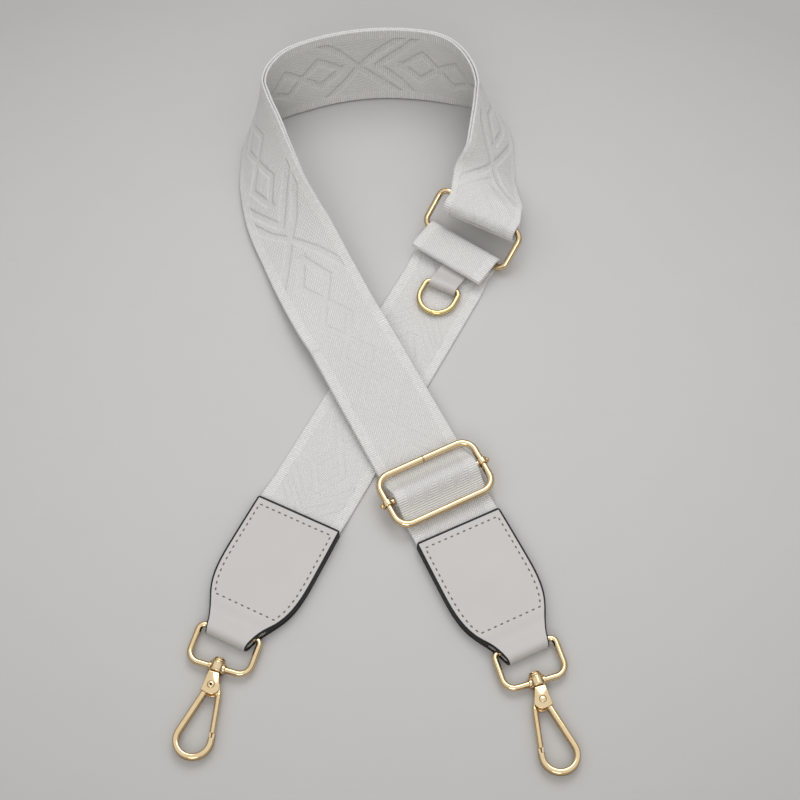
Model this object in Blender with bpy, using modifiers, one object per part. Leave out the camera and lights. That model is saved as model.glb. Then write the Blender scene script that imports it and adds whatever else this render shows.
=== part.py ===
"""Detachable bag strap, laid out in a loop on a table.

Metres, +Z up. The table is z = 0 and the origin is under the middle of the laid-out strap.
The long webbing runs from the right end tab, under the slider, over the short strap, round
the loop on edge, through the ring and back as a second layer behind itself. The short strap
runs from the left end tab to the ring. Each end tab carries a swivel snap hook.
"""
import math

import bmesh
import bpy
from mathutils import Matrix, Vector

MM = 0.001

# Shift of the whole layout that puts the origin under its middle
LAYOUT_X = 0.19 * MM
LAYOUT_Y = -0.43 * MM

# Clearances
GAP = 0.3 * MM
SEAT_GAP = 0.15 * MM
TABLE_GAP = 0.1 * MM
CUT_OVERRUN = 1.0 * MM

# Webbing
WEBBING_WIDTH = 38.0 * MM
WEBBING_THICKNESS = 1.2 * MM
WEBBING_STEP = 4.2 * MM
WEBBING_COLUMNS = 3
WEBBING_INSERT = 34.0 * MM

# End tabs
TAB_WIDTH = 38.6 * MM
TAB_LENGTH = 63.0 * MM
TAB_CORNER = 1.2 * MM
LEATHER_THICKNESS = 1.3 * MM
TAB_SPREAD = 66.0 * MM
TAB_STAGGER = 5.7 * MM
TAB_BACK = 69.8 * MM
LEFT_TAB_YAW_DEG = -26.0
RIGHT_TAB_YAW_DEG = 25.6
LEFT_WEBBING_YAW_DEG = -27.2
RIGHT_WEBBING_YAW_DEG = 26.8
STITCH_INSET = 2.6 * MM
STITCH_TOP = 3.6 * MM
STITCH_FOOT = 8.6 * MM
THREAD_RADIUS = 0.35 * MM
THREAD_SINK = 0.05 * MM

# Half width of the tab as a share of its width at the top: down its body, as shares of the
# depth where the fold opens, and down its neck, as shares of the rest of its length
TAB_BODY_SHARES = (
    (0.0, 1.0), (0.184, 1.010), (0.368, 1.016), (0.506, 1.020), (0.598, 1.012), (0.690, 0.982),
    (0.770, 0.930), (0.851, 0.830), (0.931, 0.695), (1.0, 0.580),
)
TAB_NECK_SHARES = ((0.0, 0.580), (0.54, 0.500), (1.0, 0.460))

# Swivel clasp: bail and barrel
CLASP_YAW_DEG = 17.0
BAIL_WIRE_RADIUS = 1.3 * MM
BAIL_INNER_WIDTH = 23.0 * MM
BAIL_DEPTH = 15.8 * MM
BAIL_TOP_CORNER = 2.4 * MM
BAIL_LOW_CORNER = 4.8 * MM
BAIL_SLACK = 1.6 * MM
BAIL_CLEARANCE = 0.45 * MM
BARREL_RADIUS = 2.65 * MM
BARREL_HEIGHT = 4.2 * MM
BARREL_RIM_RADIUS = 1.9 * MM
BARREL_RIM_WIDTH = 0.8 * MM

# Swivel stud, a rivet through the barrel into the hook's head
STUD_RADIUS = 1.1 * MM
STUD_DISC_RADIUS = 2.15 * MM
STUD_DISC_HEIGHT = 0.8 * MM
STUD_DOME_RADIUS = 1.75 * MM
STUD_DOME_HEIGHT = 1.2 * MM
STUD_GRIP = 2.0 * MM

# Hook, measured down from the barrel's middle and across towards its solid side
HOOK_LENGTH = 38.1 * MM
HOOK_BAR_WIDTH = 2.5 * MM
HOOK_BAR_THICKNESS = 3.0 * MM
HOOK_BOW_RADIUS = 6.85 * MM
HOOK_BOW_SHIFT = 1.6 * MM
HOOK_HEAD_THICKNESS = 4.4 * MM
HOOK_HEAD_TOP_WIDTH = 4.6 * MM
HOOK_LOBE_RADIUS = 3.3 * MM
HOOK_LOBE_SHIFT = 0.5 * MM
HOOK_PIVOT_DEPTH = 7.8 * MM
HOOK_PIVOT_SHIFT = 0.6 * MM
HOOK_SHOULDER_DEPTH = 10.9 * MM
HOOK_SHOULDER_REACH = 1.1 * MM
HEAD_BEVEL = 0.35 * MM

# Gate of the hook
GATE_RADIUS = 1.15 * MM
GATE_ROOT_DEPTH = 9.0 * MM
GATE_ROOT_SHIFT = 4.4 * MM
GATE_TIP_DEPTH = 26.6 * MM
GATE_LAP = 1.9 * MM
GATE_SLOT_WIDTH = 2.7 * MM
GATE_PLATE = 1.1 * MM
GATE_EYE_RADIUS = 1.9 * MM
GATE_ARM_WIDTH = 2.2 * MM
GATE_SLOT_TOP = 5.3 * MM
GATE_RIVET_RADIUS = 0.75 * MM
GATE_RIVET_HEAD_RADIUS = 1.5 * MM
GATE_RIVET_HEAD_HEIGHT = 0.45 * MM
GATE_RIVET_HOLE_RADIUS = 0.45 * MM
SPRING_WIRE_RADIUS = 0.16 * MM
SPRING_RADIUS = 1.3 * MM
SPRING_TURNS = 2
SPRING_LEG = 2.2 * MM
SPRING_SHORT_LEG = 1.0 * MM

# Slider
SLIDER_PLACE = 20.7 * MM
SLIDER_TRAVEL = 60.0 * MM
SLIDER_WIRE_RADIUS = 1.5 * MM
SLIDER_INNER_WIDTH = 41.6 * MM
SLIDER_INNER_HEIGHT = 21.6 * MM
SLIDER_CORNER = 6.0 * MM
SLIDER_BAR_RADIUS = 1.4 * MM
SLIDER_BAR_LIFT = 0.25 * MM
COLLAR_WALL = 0.7 * MM
COLLAR_LENGTH = 2.6 * MM
NUB_RADIUS = 1.2 * MM
SEWN_STUB = 5.4 * MM
BUMP_FOOT = 3.4 * MM
BULGE_LEAVE_DEG = 48.0
STRAND_PITCH_DEG = 2.4

# Ring and short strap
SHORT_STRAP_LENGTH = 155.5 * MM
RING_YAW_DEG = -9.0
RING_TILT_DEG = 40.0
RING_ROLL_DEG = 2.5
RING_WIRE_RADIUS = 1.4 * MM
RING_INNER_WIDTH = 41.6 * MM
RING_INNER_HEIGHT = 15.9 * MM
RING_CORNER = 4.0 * MM
RING_FOLD_RADIUS = 2.5 * MM
FLAP_LENGTH = 13.3 * MM
FLAP_UNDER = 7.5 * MM
HEM_GAP = 0.3 * MM

# D-ring and its leather keeper
KEEPER_WIDTH = 13.0 * MM
KEEPER_SHIFT = 2.2 * MM
KEEPER_THICKNESS = 0.9 * MM
KEEPER_REACH = 11.0 * MM
KEEPER_TAIL = 7.0 * MM
KEEPER_TAIL_THICKNESS = 1.9 * MM
D_RING_WIRE_RADIUS = 1.2 * MM
D_RING_INNER_WIDTH = 14.2 * MM
D_RING_SIDE = 6.4 * MM
D_RING_CORNER = 2.4 * MM

# Loop of the long webbing, from the end of its straight stretch to the ring
STRAIGHT_LENGTH = 104.0 * MM
LOOP_WIDTH = 134.0 * MM
LOOP_HEIGHT = 186.0 * MM
LOOP_LEFT = 68.5 * MM
LOOP_BASE = -9.5 * MM
APPROACH_ACROSS = -9.9 * MM
APPROACH_ALONG = 17.3 * MM
FOLD_SKEW_DEG = 9.0
FOLD_BLEND_RUN = 38.0 * MM
FOLD_LEVEL_RUN = 8.0 * MM
FOLD_LEAN_DEG = 2.0
FOLD_RADIUS = 3.6 * MM
FOLD_OVERHANG = 4.2 * MM
FOLD_OPEN_RUN = 9.5 * MM
FOLD_CLOSE_RUN = 25.0 * MM
FOLD_STEPS = 10

# Stations of the loop: across and up as shares of its width and height, the lean of the band
# from lying flat in degrees, and how far it is raised as a share of its own width
LOOP_STATION_SHARES = (
    (0.365, 0.212, 4.0, 0.105),
    (0.291, 0.320, 14.0, 0.045),
    (0.226, 0.420, 25.0, 0.006),
    (0.174, 0.494, 34.0, 0.0),
    (0.141, 0.551, 41.0, 0.0),
    (0.110, 0.629, 48.0, 0.0),
    (0.090, 0.699, 57.0, 0.0),
    (0.072, 0.773, 68.0, 0.0),
    (0.077, 0.828, 78.5, 0.0),
    (0.124, 0.874, 92.5, 0.0),
    (0.201, 0.917, 102.0, 0.0),
    (0.357, 0.959, 105.0, 0.0),
    (0.516, 0.975, 106.0, 0.0),
    (0.675, 0.966, 105.0, 0.0),
    (0.758, 0.943, 98.0, 0.0),
    (0.838, 0.901, 82.0, 0.0),
    (0.897, 0.841, 67.0, 0.0),
    (0.912, 0.788, 61.0, 0.0),
    (0.906, 0.726, 57.0, 0.0),
    (0.895, 0.662, 52.0, 0.0),
    (0.882, 0.600, 47.0, 0.0),
)

# Roundness of tubes and turned pieces
TUBE_RESOLUTION = 3
FINE_TUBE_RESOLUTION = 1
CORNER_STEPS = 4
ROUND_STEPS = 20
BOW_STEPS = 14

WEBBING_COLOUR = (0.80, 0.79, 0.77)
LEATHER_COLOUR = (0.62, 0.59, 0.56)
GOLD_COLOUR = (0.80, 0.60, 0.33)
THREAD_COLOUR = (0.16, 0.16, 0.12)
STEEL_COLOUR = (0.55, 0.53, 0.50)

STACK = 2 * WEBBING_THICKNESS + GAP
LAYER_PITCH = WEBBING_THICKNESS + GAP
HALF_WIDTH = WEBBING_WIDTH / 2
TAB_STACK = 2 * LEATHER_THICKNESS + WEBBING_THICKNESS + 2 * GAP
TAB_WEBBING_MIDDLE = TAB_STACK / 2


def turn(axis, degrees):
    """Rotation matrix about one axis by an angle in degrees."""
    return Matrix.Rotation(math.radians(degrees), 4, axis)


def shift(x=0.0, y=0.0, z=0.0):
    """Translation matrix."""
    return Matrix.Translation((x, y, z))


def lerp(a, b, share):
    """Number between a and b."""
    return a + (b - a) * share


def ease(share):
    """Smooth step from 0 to 1."""
    share = min(1.0, max(0.0, share))
    return share * share * (3 - 2 * share)


def collection(name):
    """New collection linked to the scene."""
    made = bpy.data.collections.new(name)
    bpy.context.scene.collection.children.link(made)
    return made


def clear_scene():
    """Remove every object of the scene."""
    for old in list(bpy.data.objects):
        bpy.data.objects.remove(old, do_unlink=True)


def finish(name, colour, roughness, metallic):
    """Principled material."""
    made = bpy.data.materials.new(name)
    made.use_nodes = True
    shader = made.node_tree.nodes["Principled BSDF"]
    shader.inputs["Base Color"].default_value = (*colour, 1)
    shader.inputs["Roughness"].default_value = roughness
    shader.inputs["Metallic"].default_value = metallic
    return made


clear_scene()
PARTS = collection("bag_strap")
CUTTERS = collection("cutters")
WEBBING = finish("webbing", WEBBING_COLOUR, 0.85, 0.0)
LEATHER = finish("leather", LEATHER_COLOUR, 0.55, 0.0)
GOLD = finish("gold", GOLD_COLOUR, 0.25, 1.0)
THREAD = finish("thread", THREAD_COLOUR, 0.8, 0.0)
STEEL = finish("spring_steel", STEEL_COLOUR, 0.35, 1.0)


def place(obj, material, parent, matrix=None):
    """Put an object in the model under its parent."""
    PARTS.objects.link(obj)
    if material is not None:
        obj.data.materials.append(material)
    obj.parent = parent
    obj.matrix_local = matrix or Matrix.Identity(4)
    return obj


def joint_empty(name, matrix, parent=None):
    """Empty that carries pieces; a moving one sits on its joint's axis."""
    made = bpy.data.objects.new(name, None)
    PARTS.objects.link(made)
    made.parent = parent
    made.matrix_local = matrix
    made.empty_display_size = WEBBING_THICKNESS
    return made


def as_cutter(obj):
    """Turn an object into a hidden helper for Boolean modifiers."""
    for holder in list(obj.users_collection):
        holder.objects.unlink(obj)
    CUTTERS.objects.link(obj)
    obj.hide_render = True
    obj.display_type = "WIRE"
    return obj


def combine(target, helper, operation):
    """Boolean modifier on target with a hidden helper."""
    modifier = target.modifiers.new(operation.lower(), "BOOLEAN")
    modifier.operation = operation
    modifier.object = as_cutter(helper)


def mesh_object(name, vertices, faces, material, parent, matrix=None):
    """Object from points and faces."""
    mesh = bpy.data.meshes.new(name)
    mesh.from_pydata([tuple(v) for v in vertices], [], faces)
    mesh.update()
    return place(bpy.data.objects.new(name, mesh), material, parent, matrix)


def bm_object(name, build, material, parent, matrix=None, smooth=True):
    """Object whose mesh is filled by a bmesh function."""
    mesh = bpy.data.meshes.new(name)
    work = bmesh.new()
    build(work)
    work.to_mesh(mesh)
    work.free()
    if smooth:
        mesh.shade_smooth()
        mesh.set_sharp_from_angle(angle=math.radians(35))
    return place(bpy.data.objects.new(name, mesh), material, parent, matrix)


def cylinder(name, radius, length, material, parent, matrix, steps=ROUND_STEPS):
    """Cylinder about its own Z, centred on the matrix."""
    def build(work):
        bmesh.ops.create_cone(work, cap_ends=True, segments=steps, radius1=radius, radius2=radius,
                              depth=length)
    return bm_object(name, build, material, parent, matrix)


def ball(name, radius, material, parent, matrix):
    """Sphere centred on the matrix."""
    def build(work):
        bmesh.ops.create_uvsphere(work, u_segments=12, v_segments=8, radius=radius)
    return bm_object(name, build, material, parent, matrix)


def box(name, size, material, parent, matrix):
    """Box of a size, centred on the matrix."""
    def build(work):
        bmesh.ops.create_cube(work, size=1, matrix=Matrix.Diagonal((*size, 1)))
    return bm_object(name, build, material, parent, matrix, smooth=False)


def curve_object(name, paths, material, parent, matrix, flat, cyclic):
    """Curve object of POLY splines."""
    curve = bpy.data.curves.new(name, "CURVE")
    curve.dimensions = "2D" if flat else "3D"
    for path in paths:
        spline = curve.splines.new("POLY")
        spline.points.add(len(path) - 1)
        for point, at in zip(spline.points, path):
            point.co = (*at, *(0.0,) * (3 - len(at)), 1)
        spline.use_cyclic_u = cyclic
    return place(bpy.data.objects.new(name, curve), material, parent, matrix)


def tube(name, path, radius, material, parent, matrix=None, cyclic=False,
         resolution=TUBE_RESOLUTION):
    """Round wire along a path."""
    made = curve_object(name, [path], material, parent, matrix, False, cyclic)
    made.data.bevel_depth = radius
    made.data.bevel_resolution = resolution
    made.data.use_fill_caps = not cyclic
    return made


def plate(name, outlines, thickness, material, parent, matrix):
    """Flat outline, with holes where outlines nest, extruded about its middle."""
    made = curve_object(name, outlines, material, parent, matrix, True, True)
    made.data.fill_mode = "BOTH"
    made.data.extrude = thickness / 2
    return made


def as_mesh(obj):
    """Replace a curve object by its evaluated, welded mesh."""
    graph = bpy.context.evaluated_depsgraph_get()
    graph.update()
    mesh = bpy.data.meshes.new_from_object(obj.evaluated_get(graph))
    work = bmesh.new()
    work.from_mesh(mesh)
    bmesh.ops.remove_doubles(work, verts=work.verts, dist=0.00001)
    bmesh.ops.recalc_face_normals(work, faces=work.faces)
    work.to_mesh(mesh)
    work.free()
    name, parent, matrix = obj.name, obj.parent, obj.matrix_local.copy()
    material = obj.data.materials[0]
    bpy.data.objects.remove(obj, do_unlink=True)
    mesh.name = name
    made = bpy.data.objects.new(name, mesh)
    made.name = name
    PARTS.objects.link(made)
    if not mesh.materials:
        mesh.materials.append(material)
    made.parent = parent
    made.matrix_local = matrix
    return made


def rounded_rectangle(width, height, low_corner, top_corner):
    """Closed path about the origin, width along X and height along Y."""
    x, y = width / 2, height / 2
    corners = ((x, y, top_corner, 0), (-x, y, top_corner, 90), (-x, -y, low_corner, 180),
               (x, -y, low_corner, 270))
    path = []
    for cx, cy, radius, start in corners:
        middle = (cx - math.copysign(radius, cx), cy - math.copysign(radius, cy))
        for step in range(CORNER_STEPS + 1):
            angle = math.radians(start + 90 * step / CORNER_STEPS)
            path.append((middle[0] + radius * math.cos(angle), middle[1] + radius * math.sin(angle)))
    return path


def arc(centre, radius, start_deg, end_deg, steps):
    """Points of an arc in a plane, both ends included."""
    points = []
    for step in range(steps + 1):
        angle = math.radians(lerp(start_deg, end_deg, step / steps))
        points.append((centre[0] + radius * math.cos(angle), centre[1] + radius * math.sin(angle)))
    return points


def band(name, rows, thickness, columns, material, parent, matrix=None):
    """Strip of webbing or leather through rows of (left edge, right edge), thickened evenly."""
    vertices = [left.lerp(right, column / columns) for left, right in rows
                for column in range(columns + 1)]
    faces = []
    wide = columns + 1
    for row in range(len(rows) - 1):
        for column in range(columns):
            corner = row * wide + column
            faces.append((corner, corner + 1, corner + wide + 1))
            faces.append((corner, corner + wide + 1, corner + wide))
    made = mesh_object(name, vertices, faces, material, parent, matrix)
    made.data.shade_smooth()
    made.data.set_sharp_from_angle(angle=math.radians(50))
    solid = made.modifiers.new("thickness", "SOLIDIFY")
    solid.thickness = thickness
    solid.offset = 0
    solid.use_even_offset = True
    return made


def flat_rows(profile, half_width):
    """Rows of a band whose side view is a profile of (along, up) and whose width is along X."""
    return [(Vector((-half_width, along, up)), Vector((half_width, along, up)))
            for along, up in profile]


def tab_half_width(depth):
    """Half width of an end tab at a depth below its top edge, corners rounded."""
    table, share = TAB_BODY_SHARES, max(0.0, depth / TAB_OPEN_DEPTH)
    if depth > TAB_OPEN_DEPTH:
        table, share = TAB_NECK_SHARES, min(1.0, (depth - TAB_OPEN_DEPTH) / TAB_NECK_LENGTH)
    width = table[-1][1]
    for (d0, w0), (d1, w1) in zip(table, table[1:]):
        if d0 <= share <= d1:
            width = lerp(w0, w1, (share - d0) / (d1 - d0))
            break
    cut = max(0.0, TAB_CORNER - depth)
    rounding = TAB_CORNER - math.sqrt(max(0.0, TAB_CORNER ** 2 - cut ** 2))
    return width * TAB_WIDTH / 2 - rounding


# The fold of an end tab round the bail's bar
TAB_FOLD_RADIUS = BAIL_WIRE_RADIUS + BAIL_CLEARANCE + LEATHER_THICKNESS / 2
BAIL_HEIGHT = LEATHER_THICKNESS / 2 + TAB_FOLD_RADIUS
TAB_FOLD_DEPTH = TAB_LENGTH - TAB_FOLD_RADIUS - LEATHER_THICKNESS / 2
BAIL_PLACE = TAB_FOLD_DEPTH - BAIL_SLACK
TAB_OPEN_DEPTH = BAIL_PLACE - BAIL_SLACK - BAIL_WIRE_RADIUS
TAB_NECK_LENGTH = TAB_LENGTH - TAB_OPEN_DEPTH
STITCH_END = TAB_OPEN_DEPTH - STITCH_FOOT


def end_tab(name, parent):
    """Leather tab folded round the bail, with its front and back halves along the webbing."""
    top_middle = TAB_STACK - LEATHER_THICKNESS / 2
    fold_top = BAIL_HEIGHT + TAB_FOLD_RADIUS
    corner_depths = [TAB_CORNER * share for share in (0.0, 0.12, 0.45, 1.0)]
    side_depths = [TAB_OPEN_DEPTH * share for share, _ in TAB_BODY_SHARES[1:]]
    neck_depth = TAB_OPEN_DEPTH + TAB_NECK_LENGTH * TAB_NECK_SHARES[1][0]
    depths = corner_depths + side_depths + [neck_depth, TAB_FOLD_DEPTH]
    profile = []
    for depth in depths:
        rise = ease((depth - STITCH_END) / (TAB_OPEN_DEPTH - STITCH_END))
        profile.append((-depth, lerp(top_middle, fold_top, rise)))
    profile += arc((-TAB_FOLD_DEPTH, BAIL_HEIGHT), TAB_FOLD_RADIUS, 90, 270, CORNER_STEPS * 2)[1:-1]
    profile += [(-depth, LEATHER_THICKNESS / 2) for depth in reversed(depths)]
    rows = []
    for along, up in profile:
        half = tab_half_width(-along)
        rows.append((Vector((-half, along, up)), Vector((half, along, up))))
    tab = band(name, rows, LEATHER_THICKNESS, 2, LEATHER, parent)
    groove = as_mesh(tube(name + "_groove", stitch_path(), THREAD_RADIUS + SEAT_GAP, LEATHER, parent,
                          shift(z=TAB_STACK - THREAD_SINK), True, FINE_TUBE_RESOLUTION))
    combine(tab, groove, "DIFFERENCE")
    return tab


def stitch_path():
    """Closed line of the tab's stitching, at an even inset from its edge."""
    depths = [STITCH_TOP] + [TAB_OPEN_DEPTH * share for share, _ in TAB_BODY_SHARES
                             if STITCH_TOP < TAB_OPEN_DEPTH * share < STITCH_END] + [STITCH_END]
    right = [(tab_half_width(depth) - STITCH_INSET, -depth) for depth in depths]
    return right + [(-x, y) for x, y in reversed(right)]


def stitching(name, parent):
    """Thread of the tab's seam, lying in its groove."""
    tube(name, stitch_path(), THREAD_RADIUS, THREAD, parent, shift(z=TAB_STACK - THREAD_SINK), True,
         FINE_TUBE_RESOLUTION)


def bail(name, parent):
    """Wire bail with a barrel for the swivel; the origin is on the bar inside the tab's fold."""
    width = BAIL_INNER_WIDTH + 2 * BAIL_WIRE_RADIUS
    loop = rounded_rectangle(width, BAIL_DEPTH, BAIL_LOW_CORNER, BAIL_TOP_CORNER)
    loop = [(x, y - BAIL_DEPTH / 2) for x, y in loop]
    made = as_mesh(tube(name, loop, BAIL_WIRE_RADIUS, GOLD, parent, None, True))
    across = shift(y=-BAIL_DEPTH) @ turn("X", 90)
    combine(made, cylinder(name + "_barrel", BARREL_RADIUS, BARREL_HEIGHT, GOLD, parent, across), "UNION")
    for side in (-1, 1):
        rim = shift(x=side * BARREL_RADIUS, y=-BAIL_DEPTH) @ turn("Y", 90)
        combine(made, cylinder(name + "_rim", BARREL_RIM_RADIUS, 2 * BARREL_RIM_WIDTH, GOLD, parent, rim),
                "UNION")
    bore = cylinder(name + "_bore", STUD_RADIUS + GAP, BARREL_HEIGHT + 2 * CUT_OVERRUN, GOLD, parent, across)
    combine(made, bore, "DIFFERENCE")
    return made


def turned(name, profile, material, parent, matrix):
    """Turned piece about Z from a profile of (radius, height), listed from the top down."""
    mesh = bpy.data.meshes.new(name)
    points = [(radius, 0.0, height) for radius, height in profile]
    mesh.from_pydata(points, [(i, i + 1) for i in range(len(points) - 1)], [])
    made = place(bpy.data.objects.new(name, mesh), material, parent, matrix)
    screw = made.modifiers.new("turning", "SCREW")
    screw.steps = ROUND_STEPS
    screw.render_steps = ROUND_STEPS
    screw.use_merge_vertices = True
    screw.merge_threshold = 0.00001
    screw.use_smooth_shade = True
    return made


HEAD_TOP_DEPTH = BARREL_HEIGHT / 2 + GAP


def swivel_stud(name, parent):
    """Stud riveted through the barrel; its lower end sits in the hook's head."""
    seat = BARREL_HEIGHT / 2 + SEAT_GAP
    disc_top = seat + STUD_DISC_HEIGHT
    dome_top = disc_top + STUD_DOME_HEIGHT
    foot = -(HEAD_TOP_DEPTH + STUD_GRIP - SEAT_GAP)
    profile = [(0.0, dome_top)]
    for angle in (30, 60, 90):
        turn_angle = math.radians(angle)
        profile.append((STUD_DOME_RADIUS * math.sin(turn_angle),
                        disc_top + STUD_DOME_HEIGHT * math.cos(turn_angle)))
    profile += [(STUD_DISC_RADIUS, disc_top), (STUD_DISC_RADIUS, seat), (STUD_RADIUS, seat),
                (STUD_RADIUS, foot), (0.0, foot)]
    return turned(name, profile, GOLD, parent, turn("X", -90))


HOOK_PIVOT = Vector((-HOOK_PIVOT_SHIFT, -HOOK_PIVOT_DEPTH))
BOW_CENTRE = Vector((-HOOK_BOW_SHIFT, -(HOOK_LENGTH - HOOK_BOW_RADIUS - HOOK_BAR_WIDTH / 2)))
HOOK_SHOULDER = Vector((HOOK_SHOULDER_REACH, -HOOK_SHOULDER_DEPTH))
GATE_ROOT = Vector((-GATE_ROOT_SHIFT, -GATE_ROOT_DEPTH))


def tangent_angle(point, side):
    """Angle on the bow, in radians, where the line from a point touches it on one side."""
    away = point - BOW_CENTRE
    return math.atan2(away.y, away.x) - side * math.acos(HOOK_BOW_RADIUS / away.length)


def on_bow(angle):
    """Point of the bow's middle line."""
    return BOW_CENTRE + HOOK_BOW_RADIUS * Vector((math.cos(angle), math.sin(angle)))


GATE_TOUCH = on_bow(tangent_angle(GATE_ROOT, -1))
GATE_LINE = (GATE_TOUCH - GATE_ROOT).normalized()
GATE_TIP = GATE_ROOT + GATE_LINE * ((GATE_TIP_DEPTH - GATE_ROOT_DEPTH) / -GATE_LINE.y)


def hook_bar(name, parent):
    """Bar of the hook from its head, round the bow, to the nose that meets the gate."""
    inside_head = Vector((HOOK_SHOULDER.x, -(HEAD_TOP_DEPTH + HOOK_LOBE_RADIUS)))
    start, end = tangent_angle(HOOK_SHOULDER, 1), tangent_angle(GATE_ROOT, -1) - 2 * math.pi
    nose = GATE_TIP - GATE_LINE * (GATE_LAP / 2 - GAP)
    path = [inside_head, HOOK_SHOULDER]
    path += [on_bow(lerp(start, end, step / BOW_STEPS)) for step in range(BOW_STEPS + 1)]
    path.append(nose)
    section = rounded_rectangle(HOOK_BAR_WIDTH, HOOK_BAR_THICKNESS, HOOK_BAR_WIDTH * 0.3,
                                HOOK_BAR_WIDTH * 0.3)
    profile = curve_object(name + "_section", [section[::2]], None, parent, None, True, True)
    as_cutter(profile)
    bar = curve_object(name, [[tuple(p) for p in path]], GOLD, parent, None, False, False)
    bar.data.bevel_mode = "OBJECT"
    bar.data.bevel_object = profile
    bar.data.use_fill_caps = True
    return as_mesh(bar)


def hook_head_outline():
    """Outline of the head: a trapezoid over a lobe round the gate's pivot."""
    half_top = HOOK_HEAD_TOP_WIDTH / 2
    outer = HOOK_SHOULDER.x + HOOK_BAR_WIDTH / 2
    lobe_centre = HOOK_PIVOT - Vector((HOOK_LOBE_SHIFT, HOOK_LOBE_SHIFT))
    lobe = arc(lobe_centre, HOOK_LOBE_RADIUS, 180, 285, 7)
    return [(half_top, -HEAD_TOP_DEPTH), (-half_top, -HEAD_TOP_DEPTH)] + lobe + [
        (outer + HEAD_BEVEL, -HOOK_SHOULDER_DEPTH)]


def hook_body(name, parent):
    """Hook: head with a slot for the gate, pierced for the rivet, and the bar with its nose."""
    head = as_mesh(plate(name, [hook_head_outline()], HOOK_HEAD_THICKNESS, GOLD, parent, None))
    edge = head.modifiers.new("edge", "BEVEL")
    edge.width = HEAD_BEVEL
    edge.segments = 2
    edge.limit_method = "ANGLE"
    edge.angle_limit = math.radians(60)
    combine(head, hook_bar(name + "_bar", parent), "UNION")
    slot_reach = HOOK_PIVOT.x + GATE_EYE_RADIUS + GAP
    slot_left = HOOK_PIVOT.x - HOOK_LOBE_RADIUS - HOOK_LOBE_SHIFT - CUT_OVERRUN
    slot_low = HOOK_PIVOT.y - HOOK_LOBE_RADIUS - HOOK_LOBE_SHIFT - CUT_OVERRUN
    slot_size = (slot_reach - slot_left, -GATE_SLOT_TOP - slot_low, GATE_SLOT_WIDTH)
    slot_place = shift((slot_left + slot_reach) / 2, (slot_low - GATE_SLOT_TOP) / 2)
    combine(head, box(name + "_slot", slot_size, GOLD, parent, slot_place), "DIFFERENCE")
    through = HOOK_HEAD_THICKNESS + 2 * CUT_OVERRUN
    pierce = cylinder(name + "_rivet_hole", GATE_RIVET_RADIUS + SEAT_GAP, through, GOLD, parent,
                      shift(*HOOK_PIVOT))
    combine(head, pierce, "DIFFERENCE")
    well_length = STUD_GRIP + CUT_OVERRUN
    well_place = shift(y=-HEAD_TOP_DEPTH - STUD_GRIP + well_length / 2) @ turn("X", 90)
    well = cylinder(name + "_stud_well", STUD_RADIUS + SEAT_GAP, well_length, GOLD, parent, well_place)
    combine(head, well, "DIFFERENCE")
    lap = lap_block(name + "_lap", parent, -1, GATE_TIP)
    combine(head, lap, "DIFFERENCE")
    return head


def lap_block(name, parent, side, tip):
    """Block that halves a rod at the lap; side 1 takes the outer half away, -1 the inner half."""
    reach = GATE_RADIUS + CUT_OVERRUN
    length = GATE_LAP + GAP
    across = Vector((GATE_LINE.y, -GATE_LINE.x)) * side
    turned_by = math.degrees(math.atan2(GATE_LINE.x, -GATE_LINE.y))
    middle = tip + across * (reach - GAP / 2) / 2
    size = (reach + GAP / 2, length, HOOK_BAR_THICKNESS + 2 * CUT_OVERRUN)
    return box(name, size, GOLD, parent, shift(middle.x, middle.y) @ turn("Z", turned_by))


def gate(name, parent):
    """Gate rod with a flat root that turns on the rivet; its origin is on the pivot."""
    root, tip = GATE_ROOT - HOOK_PIVOT, GATE_TIP - HOOK_PIVOT
    end = tip + GATE_LINE * (GATE_LAP / 2 - GAP / 2)
    rod = as_mesh(tube(name, [tuple(root), tuple(end)], GATE_RADIUS, GOLD, parent))
    eye = cylinder(name + "_eye", GATE_EYE_RADIUS, GATE_PLATE, GOLD, parent, gate_level())
    combine(rod, eye, "UNION")
    anchor = root + GATE_LINE * GATE_RADIUS
    middle = anchor / 2
    arm_turn = math.degrees(math.atan2(anchor.y, anchor.x))
    arm_size = (anchor.length, GATE_ARM_WIDTH, GATE_PLATE)
    arm_place = shift(*middle) @ gate_level() @ turn("Z", arm_turn)
    combine(rod, box(name + "_arm", arm_size, GOLD, parent, arm_place), "UNION")
    hole = cylinder(name + "_hole", GATE_RIVET_RADIUS + GAP, HOOK_HEAD_THICKNESS, GOLD, parent, None)
    combine(rod, hole, "DIFFERENCE")
    combine(rod, lap_block(name + "_lap", parent, 1, tip), "DIFFERENCE")
    return rod


def gate_level():
    """Place of the gate's flat root across the slot, leaving room for the spring above it."""
    return shift(z=-(GATE_SLOT_WIDTH - GATE_PLATE) / 2 + SEAT_GAP)


def gate_rivet(name, parent):
    """Tubular rivet of the gate: domed on one face of the head, open on the other."""
    face = HOOK_HEAD_THICKNESS / 2 + SEAT_GAP
    top = face + GATE_RIVET_HEAD_HEIGHT
    hole_floor = -face + GATE_RIVET_HEAD_HEIGHT
    profile = [(0.0, top), (GATE_RIVET_HEAD_RADIUS * 0.7, top - GATE_RIVET_HEAD_HEIGHT * 0.3),
               (GATE_RIVET_HEAD_RADIUS, face), (GATE_RIVET_RADIUS, face), (GATE_RIVET_RADIUS, -face),
               (GATE_RIVET_HEAD_RADIUS, -face), (GATE_RIVET_HEAD_RADIUS * 0.7, -top),
               (GATE_RIVET_HOLE_RADIUS, -top), (GATE_RIVET_HOLE_RADIUS, hole_floor), (0.0, hole_floor)]
    return turned(name, profile, GOLD, parent, shift(*HOOK_PIVOT))


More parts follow.
